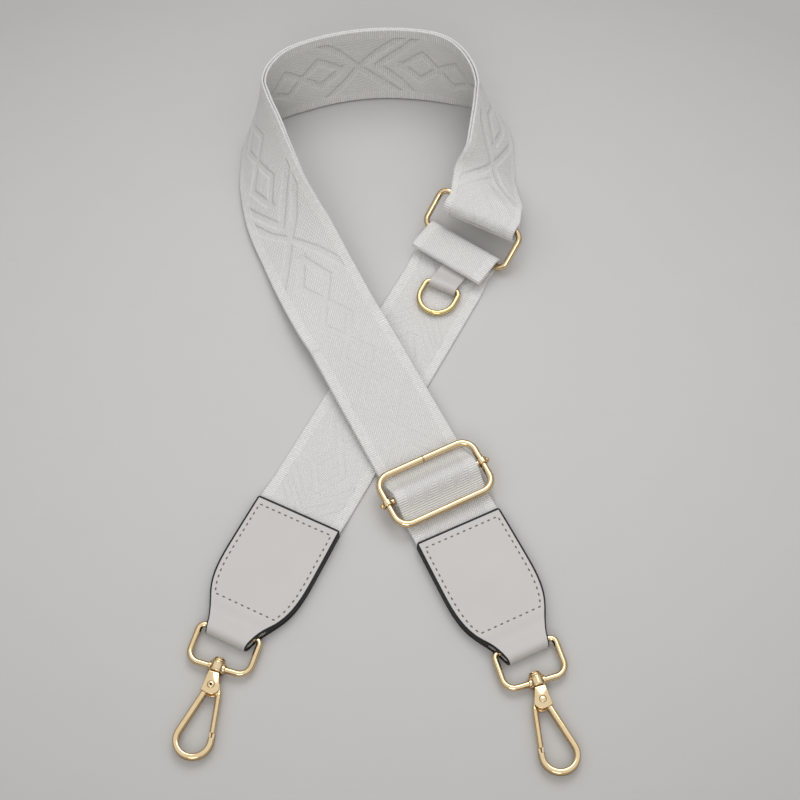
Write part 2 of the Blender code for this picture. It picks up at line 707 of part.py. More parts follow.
def gate_spring(name, parent):
    """Torsion spring round the rivet, one leg along the gate and one against the head."""
    slot_top = GATE_SLOT_WIDTH / 2
    plate_top = -slot_top + SEAT_GAP + GATE_PLATE
    low = plate_top + SEAT_GAP + SPRING_WIRE_RADIUS
    high = slot_top - SEAT_GAP - SPRING_WIRE_RADIUS
    root = GATE_ROOT - HOOK_PIVOT
    start = math.atan2(root.y, root.x)
    turns = SPRING_TURNS + 0.35
    steps = int(turns * 12)
    coil = []
    for step in range(steps + 1):
        angle = start + math.pi / 2 + turns * 2 * math.pi * step / steps
        coil.append(Vector((SPRING_RADIUS * math.cos(angle), SPRING_RADIUS * math.sin(angle),
                            lerp(low, high, step / steps))))
    first = coil[0] + (coil[0] - coil[1]).normalized() * SPRING_LEG
    last = coil[-1] + (coil[-1] - coil[-2]).normalized() * SPRING_SHORT_LEG
    path = [tuple(first)] + [tuple(p) for p in coil] + [tuple(last)]
    return as_mesh(tube(name, path, SPRING_WIRE_RADIUS, STEEL, parent, shift(*HOOK_PIVOT), False,
                        FINE_TUBE_RESOLUTION))


def clasp(side, tab, yaw, flip):
    """Bail, swivel stud, hook, gate, rivet and spring, hung from a tab's fold."""
    hinge = joint_empty(side + "_bail_hinge", shift(y=-BAIL_PLACE, z=BAIL_HEIGHT) @ turn("Z", yaw), tab)
    bail(side + "_bail", hinge)
    swivel = joint_empty(side + "_swivel", shift(y=-BAIL_DEPTH) @ turn("Y", flip), hinge)
    swivel_stud(side + "_swivel_stud", swivel)
    hook_body(side + "_hook", swivel)
    gate_rivet(side + "_gate_rivet", swivel)
    gate_spring(side + "_gate_spring", swivel)
    pivot = joint_empty(side + "_gate_pivot", shift(*HOOK_PIVOT), swivel)
    gate(side + "_gate", pivot)


# Route of the long webbing

SLIDER_AXIS_HEIGHT = SLIDER_BAR_RADIUS + GAP + WEBBING_THICKNESS + GAP + SLIDER_BAR_LIFT
RING_HEIGHT = TABLE_GAP + WEBBING_THICKNESS + RING_FOLD_RADIUS
RING_PITCH = RING_INNER_HEIGHT + 2 * RING_WIRE_RADIUS

LEFT_TAB_PLACE = shift(-TAB_SPREAD / 2, -TAB_BACK + TAB_STAGGER / 2)
RIGHT_TAB_PLACE = shift(TAB_SPREAD / 2, -TAB_BACK - TAB_STAGGER / 2)
LEFT_TAB_FRAME = LEFT_TAB_PLACE @ turn("Z", LEFT_TAB_YAW_DEG)
RIGHT_TAB_FRAME = RIGHT_TAB_PLACE @ turn("Z", RIGHT_TAB_YAW_DEG)
SHORT_STRAP_FRAME = LEFT_TAB_PLACE @ turn("Z", LEFT_WEBBING_YAW_DEG)
LONG_STRAP_FRAME = RIGHT_TAB_PLACE @ turn("Z", RIGHT_WEBBING_YAW_DEG)
RING_BASE_FRAME = (SHORT_STRAP_FRAME @ shift(y=SHORT_STRAP_LENGTH, z=RING_HEIGHT)
                   @ turn("Z", RING_YAW_DEG))
RING_FRAME = RING_BASE_FRAME @ turn("Y", RING_ROLL_DEG) @ turn("X", RING_TILT_DEG)
STRAND_FRAME = LONG_STRAP_FRAME @ shift(z=TAB_WEBBING_MIDDLE) @ turn("X", STRAND_PITCH_DEG)
STRAND_TOP_FRAME = STRAND_FRAME @ shift(z=WEBBING_THICKNESS / 2)


def straight_station(along):
    """Station on the straight strand: place, lean and height of the middle of both layers."""
    point = STRAND_FRAME @ Vector((0.0, along, -LAYER_PITCH / 2))
    return (point.x, point.y, 0.0, point.z)


def loop_stations():
    """All stations of the route as (x, y, lean, height of the band's middle)."""
    inside = LONG_STRAP_FRAME @ Vector((0.0, -WEBBING_INSERT, TAB_WEBBING_MIDDLE - LAYER_PITCH / 2))
    stations = [(inside.x, inside.y, 0.0, inside.z)]
    runs = (0.0, 0.04, 0.3, 0.6, 0.96, 1.0)
    stations += [straight_station(STRAIGHT_LENGTH * run) for run in runs]
    far_bar, heading = ring_far_bar()
    places = [(across * LOOP_WIDTH - LOOP_LEFT, up * LOOP_HEIGHT + LOOP_BASE)
              for across, up, _, _ in LOOP_STATION_SHARES]
    approach = far_bar + RING_BASE_FRAME.to_3x3() @ Vector((APPROACH_ACROSS, APPROACH_ALONG, 0.0))
    miss_x, miss_y = approach.x - places[-1][0], approach.y - places[-1][1]
    for i, (_, _, lean, raised) in enumerate(LOOP_STATION_SHARES):
        slope = math.radians(lean)
        height = (HALF_WIDTH * math.sin(slope) + STACK / 2 * abs(math.cos(slope)) + TABLE_GAP
                  + raised * WEBBING_WIDTH)
        pull = ease(2 * i / (len(places) - 1) - 1)
        stations.append((places[i][0] + miss_x * pull, places[i][1] + miss_y * pull, lean, height))
    turn_place = far_bar + heading * FOLD_OVERHANG
    stations.append((far_bar.x, far_bar.y, LOOP_STATION_SHARES[-1][2], far_bar.z))
    stations.append((turn_place.x, turn_place.y, LOOP_STATION_SHARES[-1][2], turn_place.z))
    return stations


def ring_far_bar():
    """Middle of the ring's far bar, and the level heading of the webbing that turns round it."""
    far_bar = RING_FRAME @ Vector((0.0, RING_PITCH, 0.0))
    flat = RING_BASE_FRAME.to_3x3() @ turn("Z", FOLD_SKEW_DEG).to_3x3()
    return far_bar, flat @ Vector((0.0, -1.0, 0.0))


def sample_route(stations, step):
    """Even samples of (distance, place, along, across, up) on a smooth curve through the stations."""
    knots = [0.0]
    for a, b in zip(stations, stations[1:]):
        knots.append(knots[-1] + math.hypot(b[0] - a[0], b[1] - a[1]))
    slopes = []
    for i in range(len(stations)):
        low, high = max(0, i - 1), min(len(stations) - 1, i + 1)
        span = knots[high] - knots[low]
        slopes.append([(b - a) / span for a, b in zip(stations[low], stations[high])])
    count = math.ceil(knots[-1] / step)
    values = []
    segment = 0
    for sample in range(count + 1):
        at = knots[-1] * sample / count
        while segment < len(knots) - 2 and at > knots[segment + 1]:
            segment += 1
        span = knots[segment + 1] - knots[segment]
        t = (at - knots[segment]) / span
        values.append([hermite(a, b, ma * span, mb * span, t) for a, b, ma, mb in
                       zip(stations[segment], stations[segment + 1], slopes[segment], slopes[segment + 1])])
    samples = []
    distance = 0.0
    for i, (x, y, lean, height) in enumerate(values):
        low, high = values[max(0, i - 1)], values[min(count, i + 1)]
        along = Vector((high[0] - low[0], high[1] - low[1], high[3] - low[3])).normalized()
        right = Vector((along.y, -along.x, 0.0)).normalized()
        across = right * math.cos(math.radians(lean)) + Vector((0.0, 0.0, math.sin(math.radians(lean))))
        across = (across - along * across.dot(along)).normalized()
        point = Vector((x, y, height))
        if samples:
            distance += (point - samples[-1][1]).length
        samples.append((distance, point, along, across, across.cross(along)))
    return samples


def hermite(a, b, slope_a, slope_b, t):
    """Cubic between two values with given slopes."""
    t2, t3 = t * t, t * t * t
    return ((2 * t3 - 3 * t2 + 1) * a + (t3 - 2 * t2 + t) * slope_a + (3 * t2 - 2 * t3) * b
            + (t3 - t2) * slope_b)


def long_webbing(name):
    """Both layers of the long webbing: out from the tab, round the ring's far bar and back."""
    samples = sample_route(loop_stations(), WEBBING_STEP)
    total = samples[-1][0]
    heading = ring_far_bar()[1]
    right = Vector((heading.y, -heading.x, 0.0))
    lean = math.radians(FOLD_LEAN_DEG)
    fold_across = right * math.cos(lean) + Vector((0.0, 0.0, math.sin(lean)))
    for i, (distance, point, along, across, up) in enumerate(samples):
        blend = ease((FOLD_BLEND_RUN - total + distance) / (FOLD_BLEND_RUN - FOLD_LEVEL_RUN))
        across = across.lerp(fold_across, blend).normalized()
        along = along.lerp(heading, blend).normalized()
        samples[i] = (distance, point, along, across, across.cross(along).normalized())

    def layer(side):
        rows = []
        for distance, point, _, across, up in samples:
            opening = ease((total - FOLD_OPEN_RUN - distance) / (FOLD_CLOSE_RUN - FOLD_OPEN_RUN))
            offset = side * lerp(FOLD_RADIUS, LAYER_PITCH / 2, opening)
            middle = point + up * offset
            rows.append((middle - across * HALF_WIDTH, middle + across * HALF_WIDTH))
        return rows
    _, end, along, across, up = samples[-1]
    fold = []
    for step in range(1, FOLD_STEPS):
        angle = math.pi * step / FOLD_STEPS
        middle = end + (up * math.cos(angle) + along * math.sin(angle)) * FOLD_RADIUS
        fold.append((middle - across * HALF_WIDTH, middle + across * HALF_WIDTH))
    rear_start = WEBBING_INSERT + SLIDER_PLACE
    rear = [row for sample, row in zip(samples, layer(-1)) if sample[0] > rear_start]
    rows = layer(1) + fold + rear[::-1]
    return band(name, rows, WEBBING_THICKNESS, WEBBING_COLUMNS, WEBBING, None)


def short_webbing(name, parent):
    """Short strap: out of the left tab, along the table, round the ring's near bar, hemmed flap."""
    level = TABLE_GAP + WEBBING_THICKNESS / 2
    hem_start = SHORT_STRAP_LENGTH - FLAP_LENGTH
    rows = flat_rows([(-WEBBING_INSERT, TAB_WEBBING_MIDDLE), (0.0, TAB_WEBBING_MIDDLE)], HALF_WIDTH)
    settle = TAB_STACK * 3
    for share in (0.25, 0.5, 0.75, 1.0):
        rows += flat_rows([(settle * share, lerp(TAB_WEBBING_MIDDLE, level, ease(share)))], HALF_WIDTH)
    turn_start = hem_start - FLAP_LENGTH / 2
    rows += flat_rows([(lerp(settle, turn_start, share), level) for share in (0.33, 0.66, 1.0)], HALF_WIDTH)
    ring_local = SHORT_STRAP_FRAME.inverted() @ RING_BASE_FRAME
    radius = RING_FOLD_RADIUS + WEBBING_THICKNESS / 2
    hem_radius = (WEBBING_THICKNESS + HEM_GAP) / 2
    flap_level = level + WEBBING_THICKNESS + KEEPER_TAIL_THICKNESS + 3 * GAP + LAYER_PITCH - RING_HEIGHT
    profile = [(-FLAP_LENGTH / 2, -radius), (0.0, -radius)]
    profile += arc((0.0, 0.0), radius, -90, 90, CORNER_STEPS * 2)[1:-1]
    for share in (0.0, 0.25, 0.5, 0.75, 1.0):
        profile.append((-FLAP_LENGTH * share, lerp(radius, flap_level, ease(share))))
    profile += arc((-FLAP_LENGTH, flap_level - hem_radius), hem_radius, 90, 270, CORNER_STEPS)[1:]
    profile.append((-FLAP_LENGTH + FLAP_UNDER, flap_level - 2 * hem_radius))
    rows += [(ring_local @ left, ring_local @ right) for left, right in flat_rows(profile, HALF_WIDTH)]
    return band(name, rows, WEBBING_THICKNESS, 2, WEBBING, parent)


def slider(parent):
    """Slider frame with its centre bar, the sewn end on the bar and the bulge over it."""
    carriage = joint_empty("slider_carriage", shift(), parent)
    axis = SLIDER_AXIS_HEIGHT
    half_height = (SLIDER_INNER_HEIGHT / 2 + SLIDER_WIRE_RADIUS)
    half_width = (SLIDER_INNER_WIDTH / 2 + SLIDER_WIRE_RADIUS)
    outline = rounded_rectangle(2 * half_width, 2 * half_height, SLIDER_CORNER, SLIDER_CORNER)
    frame_seat = joint_empty("slider_frame_guide", shift(z=axis), carriage)
    tube("slider_frame", outline, SLIDER_WIRE_RADIUS, GOLD, frame_seat, None, True)

    bar = cylinder("slider_bar", SLIDER_BAR_RADIUS, 2 * half_width, GOLD, carriage,
                   shift(z=axis) @ turn("Y", 90))
    collar_radius = SLIDER_WIRE_RADIUS + SEAT_GAP + COLLAR_WALL
    for side in (-1, 1):
        centre = shift(side * half_width, 0.0, axis)
        combine(bar, cylinder("bar_collar", collar_radius, COLLAR_LENGTH, GOLD, carriage,
                              centre @ turn("X", 90)), "UNION")
        nub_place = shift(side * (half_width + collar_radius), 0.0, axis)
        combine(bar, ball("bar_nub", NUB_RADIUS, GOLD, carriage, nub_place), "UNION")
        combine(bar, cylinder("bar_bore", SLIDER_WIRE_RADIUS + SEAT_GAP, COLLAR_LENGTH + 2 * CUT_OVERRUN,
                              GOLD, carriage, centre @ turn("X", 90)), "DIFFERENCE")

    half = WEBBING_THICKNESS / 2
    sewn_radius = SLIDER_BAR_RADIUS + GAP + half
    stub_level = axis - sewn_radius
    sewn = [(SEWN_STUB, stub_level), (SEWN_STUB / 2, stub_level), (0.0, stub_level)]
    sewn += arc((0.0, axis), sewn_radius, 270, -20, CORNER_STEPS * 4)[1:]
    band("sewn_end_loop", flat_rows(sewn, HALF_WIDTH), WEBBING_THICKNESS, 1, WEBBING, carriage)

    bulge_radius = sewn_radius + WEBBING_THICKNESS + GAP
    foot_level = GAP + half
    foot_end = half_height
    foot_start = foot_end - BUMP_FOOT
    leave = math.radians(BULGE_LEAVE_DEG)
    leave_along, leave_up = bulge_radius * math.cos(leave), axis + bulge_radius * math.sin(leave)
    leave_slope = (foot_start - leave_along) / math.tan(leave)
    side_profile = [(foot_end, foot_level), (foot_start, foot_level)]
    for share in (0.2, 0.4, 0.6, 0.8):
        side_profile.append((lerp(foot_start, leave_along, share),
                             hermite(foot_level, leave_up, leave_slope / 2, leave_slope, share)))
    over = arc((0.0, axis), bulge_radius, BULGE_LEAVE_DEG, 180 - BULGE_LEAVE_DEG, CORNER_STEPS * 2)
    bulge = side_profile + over + [(-along, up) for along, up in reversed(side_profile)]
    band("threaded_webbing", flat_rows(bulge, HALF_WIDTH), WEBBING_THICKNESS, 1, WEBBING, carriage)


def ring(parent):
    """Rectangular wire ring; its origin is on the bar held by the short strap."""
    width = RING_INNER_WIDTH + 2 * RING_WIRE_RADIUS
    outline = rounded_rectangle(width, RING_PITCH, RING_CORNER, RING_CORNER)
    tube("ring", [(x, y + RING_PITCH / 2) for x, y in outline], RING_WIRE_RADIUS, GOLD, parent, None, True)


KEEPER_FOLD_RADIUS = D_RING_WIRE_RADIUS + GAP + KEEPER_THICKNESS / 2
KEEPER_LEVEL = TABLE_GAP + WEBBING_THICKNESS + GAP
D_RING_HEIGHT = KEEPER_LEVEL + KEEPER_THICKNESS / 2 + KEEPER_FOLD_RADIUS
D_RING_PLACE = SHORT_STRAP_LENGTH - FLAP_LENGTH - KEEPER_REACH


def keeper(name, parent):
    """Leather loop that holds the D-ring, its tail under the flap; drawn from the side."""
    outer = KEEPER_FOLD_RADIUS + KEEPER_THICKNESS / 2
    inner = KEEPER_FOLD_RADIUS - KEEPER_THICKNESS / 2
    tail_top = KEEPER_TAIL_THICKNESS - outer
    tail_end = KEEPER_REACH + KEEPER_TAIL
    split = KEEPER_REACH * 0.78
    outline = arc((0.0, 0.0), outer, 270, 90, CORNER_STEPS * 2)
    outline += [(split, tail_top), (tail_end, tail_top), (tail_end, -outer)]
    hole = arc((0.0, 0.0), inner, 270, 90, CORNER_STEPS * 2)
    hole.append((split * 0.65, -inner))
    side_view = shift(KEEPER_SHIFT, D_RING_PLACE, D_RING_HEIGHT) @ turn("Z", 90) @ turn("X", 90)
    return as_mesh(plate(name, [outline, hole], KEEPER_WIDTH, LEATHER, parent, side_view))


def d_ring(name, parent):
    """D-shaped wire ring lying on the short strap, its straight bar in the keeper."""
    radius = D_RING_INNER_WIDTH / 2 + D_RING_WIRE_RADIUS
    corner = D_RING_CORNER
    path = arc((radius - corner, -corner), corner, 90, 0, CORNER_STEPS)
    path += arc((0.0, -D_RING_SIDE), radius, 0, -180, BOW_STEPS)
    path += arc((-radius + corner, -corner), corner, 180, 90, CORNER_STEPS)
    return tube(name, path, D_RING_WIRE_RADIUS, GOLD, parent, None, True)


def d_ring_droop():
    """Angle by which the D-ring hangs from its keeper to the short strap."""
    reach = D_RING_SIDE + D_RING_INNER_WIDTH / 2 + D_RING_WIRE_RADIUS
    low = KEEPER_LEVEL + D_RING_WIRE_RADIUS
    return math.degrees(math.asin((D_RING_HEIGHT - low) / reach))


def build():
    """The whole strap."""
    layout = joint_empty("layout", shift(LAYOUT_X, LAYOUT_Y))
    left_tab = joint_empty("left_tab_frame", LEFT_TAB_FRAME, layout)
    right_tab = joint_empty("right_tab_frame", RIGHT_TAB_FRAME, layout)
    strand = joint_empty("strand_frame", STRAND_TOP_FRAME @ shift(y=SLIDER_PLACE), layout)
    ring_hinge = joint_empty("ring_hinge", RING_FRAME, layout)
    bpy.context.view_layer.update()

    long_webbing("long_webbing").parent = layout
    short_strap = joint_empty("short_strap_frame", SHORT_STRAP_FRAME, layout)
    bpy.context.view_layer.update()
    short_webbing("short_webbing", short_strap)
    for side, tab, yaw, flip in (("left", left_tab, -CLASP_YAW_DEG - LEFT_TAB_YAW_DEG, 180),
                                 ("right", right_tab, CLASP_YAW_DEG - RIGHT_TAB_YAW_DEG, 0)):
        end_tab(side + "_end_tab", tab)
        stitching(side + "_tab_stitching", tab)
        clasp(side, tab, yaw, flip)
    slider(strand)
    ring(ring_hinge)
    keeper("d_ring_keeper", short_strap)
    droop = shift(KEEPER_SHIFT, D_RING_PLACE, D_RING_HEIGHT) @ turn("X", d_ring_droop())
    d_ring("d_ring", joint_empty("d_ring_hinge", droop, short_strap))


build()
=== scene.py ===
import math

import bmesh
import bpy
import numpy as np
from mathutils import Matrix, Vector


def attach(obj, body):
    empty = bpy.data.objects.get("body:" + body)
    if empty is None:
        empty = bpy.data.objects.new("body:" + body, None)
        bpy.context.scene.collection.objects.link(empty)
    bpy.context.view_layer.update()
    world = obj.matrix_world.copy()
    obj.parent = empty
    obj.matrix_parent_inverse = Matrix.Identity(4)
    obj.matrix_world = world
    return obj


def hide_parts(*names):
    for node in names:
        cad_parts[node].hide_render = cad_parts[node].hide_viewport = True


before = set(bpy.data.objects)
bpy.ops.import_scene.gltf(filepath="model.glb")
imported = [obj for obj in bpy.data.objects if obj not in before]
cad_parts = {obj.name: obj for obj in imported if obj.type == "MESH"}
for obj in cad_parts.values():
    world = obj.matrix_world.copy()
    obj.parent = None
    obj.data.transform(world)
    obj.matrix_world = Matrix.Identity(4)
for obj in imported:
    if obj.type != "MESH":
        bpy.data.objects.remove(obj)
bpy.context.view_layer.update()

MM = 0.001

# Route and sizes, as in the model's source, where FOLD_BLEND_RUN is 38 mm. FOLD_SQUEEZE, FOLD_SWAY and
# the runs after them shape the strap's cupped end in this scene alone.
LAYOUT_X, LAYOUT_Y = 0.19 * MM, -0.43 * MM
GAP, SEAT_GAP, TABLE_GAP = 0.3 * MM, 0.15 * MM, 0.1 * MM
WEBBING_WIDTH, WEBBING_THICKNESS, WEBBING_INSERT = 38.0 * MM, 1.2 * MM, 34.0 * MM
TAB_WIDTH, TAB_LENGTH, TAB_CORNER = 38.6 * MM, 63.0 * MM, 1.2 * MM
LEATHER_THICKNESS = 1.3 * MM
TAB_SPREAD, TAB_STAGGER, TAB_BACK = 66.0 * MM, 5.7 * MM, 69.8 * MM
LEFT_TAB_YAW, RIGHT_TAB_YAW = -26.0, 25.6
LEFT_WEBBING_YAW, RIGHT_WEBBING_YAW = -27.2, 26.8
STITCH_INSET, STITCH_TOP, STITCH_FOOT = 2.6 * MM, 3.6 * MM, 8.6 * MM
TAB_BODY_SHARES = (
    (0.0, 1.0), (0.184, 1.010), (0.368, 1.016), (0.506, 1.020), (0.598, 1.012), (0.690, 0.982),
    (0.770, 0.930), (0.851, 0.830), (0.931, 0.695), (1.0, 0.580),
)
TAB_NECK_SHARES = ((0.0, 0.580), (0.54, 0.500), (1.0, 0.460))
CLASP_YAW = 17.0
BAIL_WIRE_RADIUS, BAIL_INNER_WIDTH, BAIL_DEPTH = 1.3 * MM, 23.0 * MM, 15.8 * MM
BAIL_TOP_CORNER, BAIL_LOW_CORNER = 2.4 * MM, 4.8 * MM
BAIL_SLACK, BAIL_CLEARANCE = 1.6 * MM, 0.45 * MM
SLIDER_PLACE, SLIDER_WIRE_RADIUS = 20.7 * MM, 1.5 * MM
SLIDER_INNER_WIDTH, SLIDER_INNER_HEIGHT, SLIDER_CORNER = 41.6 * MM, 21.6 * MM, 6.0 * MM
SLIDER_BAR_RADIUS, SLIDER_BAR_LIFT = 1.4 * MM, 0.25 * MM
COLLAR_WALL, COLLAR_LENGTH, NUB_RADIUS = 0.7 * MM, 2.6 * MM, 1.2 * MM
SEWN_STUB, BUMP_FOOT, BULGE_LEAVE, STRAND_PITCH = 5.4 * MM, 3.4 * MM, 48.0, 2.4
SHORT_STRAP_LENGTH = 155.5 * MM
RING_YAW, RING_TILT, RING_ROLL = -9.0, 40.0, 2.5
RING_WIRE_RADIUS, RING_INNER_WIDTH, RING_INNER_HEIGHT = 1.4 * MM, 41.6 * MM, 15.9 * MM
RING_CORNER, RING_FOLD_RADIUS = 4.0 * MM, 2.5 * MM
FLAP_LENGTH, FLAP_UNDER, HEM_GAP = 13.3 * MM, 7.5 * MM, 0.3 * MM
KEEPER_WIDTH, KEEPER_SHIFT, KEEPER_THICKNESS = 13.0 * MM, 2.2 * MM, 0.9 * MM
KEEPER_REACH, KEEPER_TAIL, KEEPER_TAIL_THICKNESS = 11.0 * MM, 7.0 * MM, 1.9 * MM
D_RING_WIRE_RADIUS, D_RING_INNER_WIDTH = 1.2 * MM, 14.2 * MM
D_RING_SIDE, D_RING_CORNER = 6.4 * MM, 2.4 * MM
STRAIGHT_LENGTH, LOOP_WIDTH, LOOP_HEIGHT = 104.0 * MM, 134.0 * MM, 186.0 * MM
LOOP_LEFT, LOOP_BASE = 68.5 * MM, -9.5 * MM
APPROACH_ACROSS, APPROACH_ALONG = -9.9 * MM, 17.3 * MM
FOLD_SKEW, FOLD_LEAN = 9.0, 2.0
FOLD_BLEND_RUN, FOLD_LEVEL_RUN = 36.0 * MM, 8.0 * MM
FOLD_SQUEEZE, FOLD_SWAY = 0.06, 1.6 * MM
SQUEEZE_RUN, SQUEEZE_BLEND = 48.0 * MM, 22.0 * MM
SWAY_START, SWAY_RUN = 16.0 * MM, 52.0 * MM
FOLD_RADIUS, FOLD_OVERHANG = 3.6 * MM, 4.2 * MM
FOLD_OPEN_RUN, FOLD_CLOSE_RUN = 9.5 * MM, 25.0 * MM
LOOP_STATION_SHARES = (
    (0.365, 0.212, 4.0, 0.105), (0.291, 0.320, 14.0, 0.045), (0.226, 0.420, 25.0, 0.006),
    (0.174, 0.494, 34.0, 0.0), (0.141, 0.551, 41.0, 0.0), (0.110, 0.629, 48.0, 0.0),
    (0.090, 0.699, 57.0, 0.0), (0.072, 0.773, 68.0, 0.0), (0.077, 0.828, 78.5, 0.0),
    (0.124, 0.874, 92.5, 0.0), (0.201, 0.917, 102.0, 0.0), (0.357, 0.959, 105.0, 0.0),
    (0.516, 0.975, 106.0, 0.0), (0.675, 0.966, 105.0, 0.0), (0.758, 0.943, 98.0, 0.0),
    (0.838, 0.901, 82.0, 0.0), (0.897, 0.841, 67.0, 0.0), (0.912, 0.788, 61.0, 0.0),
    (0.906, 0.726, 57.0, 0.0), (0.895, 0.662, 52.0, 0.0), (0.882, 0.600, 47.0, 0.0),
)

STACK = 2 * WEBBING_THICKNESS + GAP
LAYER_PITCH = WEBBING_THICKNESS + GAP
HALF_WIDTH = WEBBING_WIDTH / 2
TAB_STACK = 2 * LEATHER_THICKNESS + WEBBING_THICKNESS + 2 * GAP
TAB_WEBBING_MIDDLE = TAB_STACK / 2
TAB_FOLD_RADIUS = BAIL_WIRE_RADIUS + BAIL_CLEARANCE + LEATHER_THICKNESS / 2
BAIL_HEIGHT = LEATHER_THICKNESS / 2 + TAB_FOLD_RADIUS
TAB_FOLD_DEPTH = TAB_LENGTH - TAB_FOLD_RADIUS - LEATHER_THICKNESS / 2
BAIL_PLACE = TAB_FOLD_DEPTH - BAIL_SLACK
TAB_OPEN_DEPTH = BAIL_PLACE - BAIL_SLACK - BAIL_WIRE_RADIUS
TAB_NECK_LENGTH = TAB_LENGTH - TAB_OPEN_DEPTH
STITCH_END = TAB_OPEN_DEPTH - STITCH_FOOT

# Sizes of the scene alone, and its camera
STITCH_PITCH, STITCH_LENGTH, STITCH_RADIUS = 2.85 * MM, 1.75 * MM, 0.30 * MM
TAB_EDGE_RADIUS, TAB_BORDER = 0.32 * MM, 0.55 * MM
TABLE_REACH = 8.0
CAMERA_TARGET, CAMERA_OFFSET, CAMERA_LENS = (0.00919, -0.00993, 0.0), (0.0, -0.3392, 0.5645), 67.5


def turn(axis, degrees):
    return Matrix.Rotation(math.radians(degrees), 4, axis)


def shift(x=0.0, y=0.0, z=0.0):
    return Matrix.Translation((x, y, z))


def lerp(a, b, share):
    return a + (b - a) * share


def ease(share):
    share = min(1.0, max(0.0, share))
    return share * share * (3 - 2 * share)


def hermite(a, b, slope_a, slope_b, t):
    t2, t3 = t * t, t * t * t
    return ((2 * t3 - 3 * t2 + 1) * a + (t3 - 2 * t2 + t) * slope_a + (3 * t2 - 2 * t3) * b
            + (t3 - t2) * slope_b)


def arc(centre, radius, start, end, steps):
    points = []
    for step in range(steps + 1):
        angle = math.radians(lerp(start, end, step / steps))
        points.append((centre[0] + radius * math.cos(angle), centre[1] + radius * math.sin(angle)))
    return points


def rounded_rectangle(width, height, low_corner, top_corner, steps=12):
    x, y = width / 2, height / 2
    corners = ((x, y, top_corner, 0), (-x, y, top_corner, 90), (-x, -y, low_corner, 180),
               (x, -y, low_corner, 270))
    path = []
    for cx, cy, radius, start in corners:
        middle = (cx - math.copysign(radius, cx), cy - math.copysign(radius, cy))
        path += arc(middle, radius, start, start + 90, steps)
    return path


# Places of the pieces
LAYOUT = shift(LAYOUT_X, LAYOUT_Y)
SLIDER_AXIS_HEIGHT = SLIDER_BAR_RADIUS + GAP + WEBBING_THICKNESS + GAP + SLIDER_BAR_LIFT
RING_HEIGHT = TABLE_GAP + WEBBING_THICKNESS + RING_FOLD_RADIUS
RING_PITCH = RING_INNER_HEIGHT + 2 * RING_WIRE_RADIUS
LEFT_PLACE = LAYOUT @ shift(-TAB_SPREAD / 2, -TAB_BACK + TAB_STAGGER / 2)
RIGHT_PLACE = LAYOUT @ shift(TAB_SPREAD / 2, -TAB_BACK - TAB_STAGGER / 2)
LEFT_TAB = LEFT_PLACE @ turn("Z", LEFT_TAB_YAW)
RIGHT_TAB = RIGHT_PLACE @ turn("Z", RIGHT_TAB_YAW)
SHORT_STRAP = LEFT_PLACE @ turn("Z", LEFT_WEBBING_YAW)
LONG_STRAP = RIGHT_PLACE @ turn("Z", RIGHT_WEBBING_YAW)
RING_BASE = SHORT_STRAP @ shift(y=SHORT_STRAP_LENGTH, z=RING_HEIGHT) @ turn("Z", RING_YAW)
RING = RING_BASE @ turn("Y", RING_ROLL) @ turn("X", RING_TILT)
STRAND = LONG_STRAP @ shift(z=TAB_WEBBING_MIDDLE) @ turn("X", STRAND_PITCH)
SLIDER = STRAND @ shift(z=WEBBING_THICKNESS / 2) @ shift(y=SLIDER_PLACE)
KEEPER_FOLD_RADIUS = D_RING_WIRE_RADIUS + GAP + KEEPER_THICKNESS / 2
KEEPER_LEVEL = TABLE_GAP + WEBBING_THICKNESS + GAP
D_RING_HEIGHT = KEEPER_LEVEL + KEEPER_THICKNESS / 2 + KEEPER_FOLD_RADIUS
D_RING_PLACE = SHORT_STRAP_LENGTH - FLAP_LENGTH - KEEPER_REACH


def ring_far_bar():
    flat = RING_BASE.to_3x3() @ turn("Z", FOLD_SKEW).to_3x3()
    return RING @ Vector((0.0, RING_PITCH, 0.0)), flat @ Vector((0.0, -1.0, 0.0))


def loop_stations():
    """Stations of the long webbing as (x, y, lean, height of the middle of both layers)."""
    inside = LONG_STRAP @ Vector((0.0, -WEBBING_INSERT, TAB_WEBBING_MIDDLE - LAYER_PITCH / 2))
    stations = [(inside.x, inside.y, 0.0, inside.z)]
    for run in (0.0, 0.04, 0.3, 0.6, 0.96, 1.0):
        point = STRAND @ Vector((0.0, STRAIGHT_LENGTH * run, -LAYER_PITCH / 2))
        stations.append((point.x, point.y, 0.0, point.z))
    far_bar, heading = ring_far_bar()
    places = [(LAYOUT_X + across * LOOP_WIDTH - LOOP_LEFT, LAYOUT_Y + up * LOOP_HEIGHT + LOOP_BASE)
              for across, up, _, _ in LOOP_STATION_SHARES]
    approach = far_bar + RING_BASE.to_3x3() @ Vector((APPROACH_ACROSS, APPROACH_ALONG, 0.0))
    miss_x, miss_y = approach.x - places[-1][0], approach.y - places[-1][1]
    for i, (_, _, lean, raised) in enumerate(LOOP_STATION_SHARES):
        slope = math.radians(lean)
        height = (HALF_WIDTH * math.sin(slope) + STACK / 2 * abs(math.cos(slope)) + TABLE_GAP
                  + raised * WEBBING_WIDTH)
        pull = ease(2 * i / (len(places) - 1) - 1)
        stations.append((places[i][0] + miss_x * pull, places[i][1] + miss_y * pull, lean, height))
    end = far_bar + heading * FOLD_OVERHANG
    stations.append((far_bar.x, far_bar.y, LOOP_STATION_SHARES[-1][2], far_bar.z))
    stations.append((end.x, end.y, LOOP_STATION_SHARES[-1][2], end.z))
    return stations


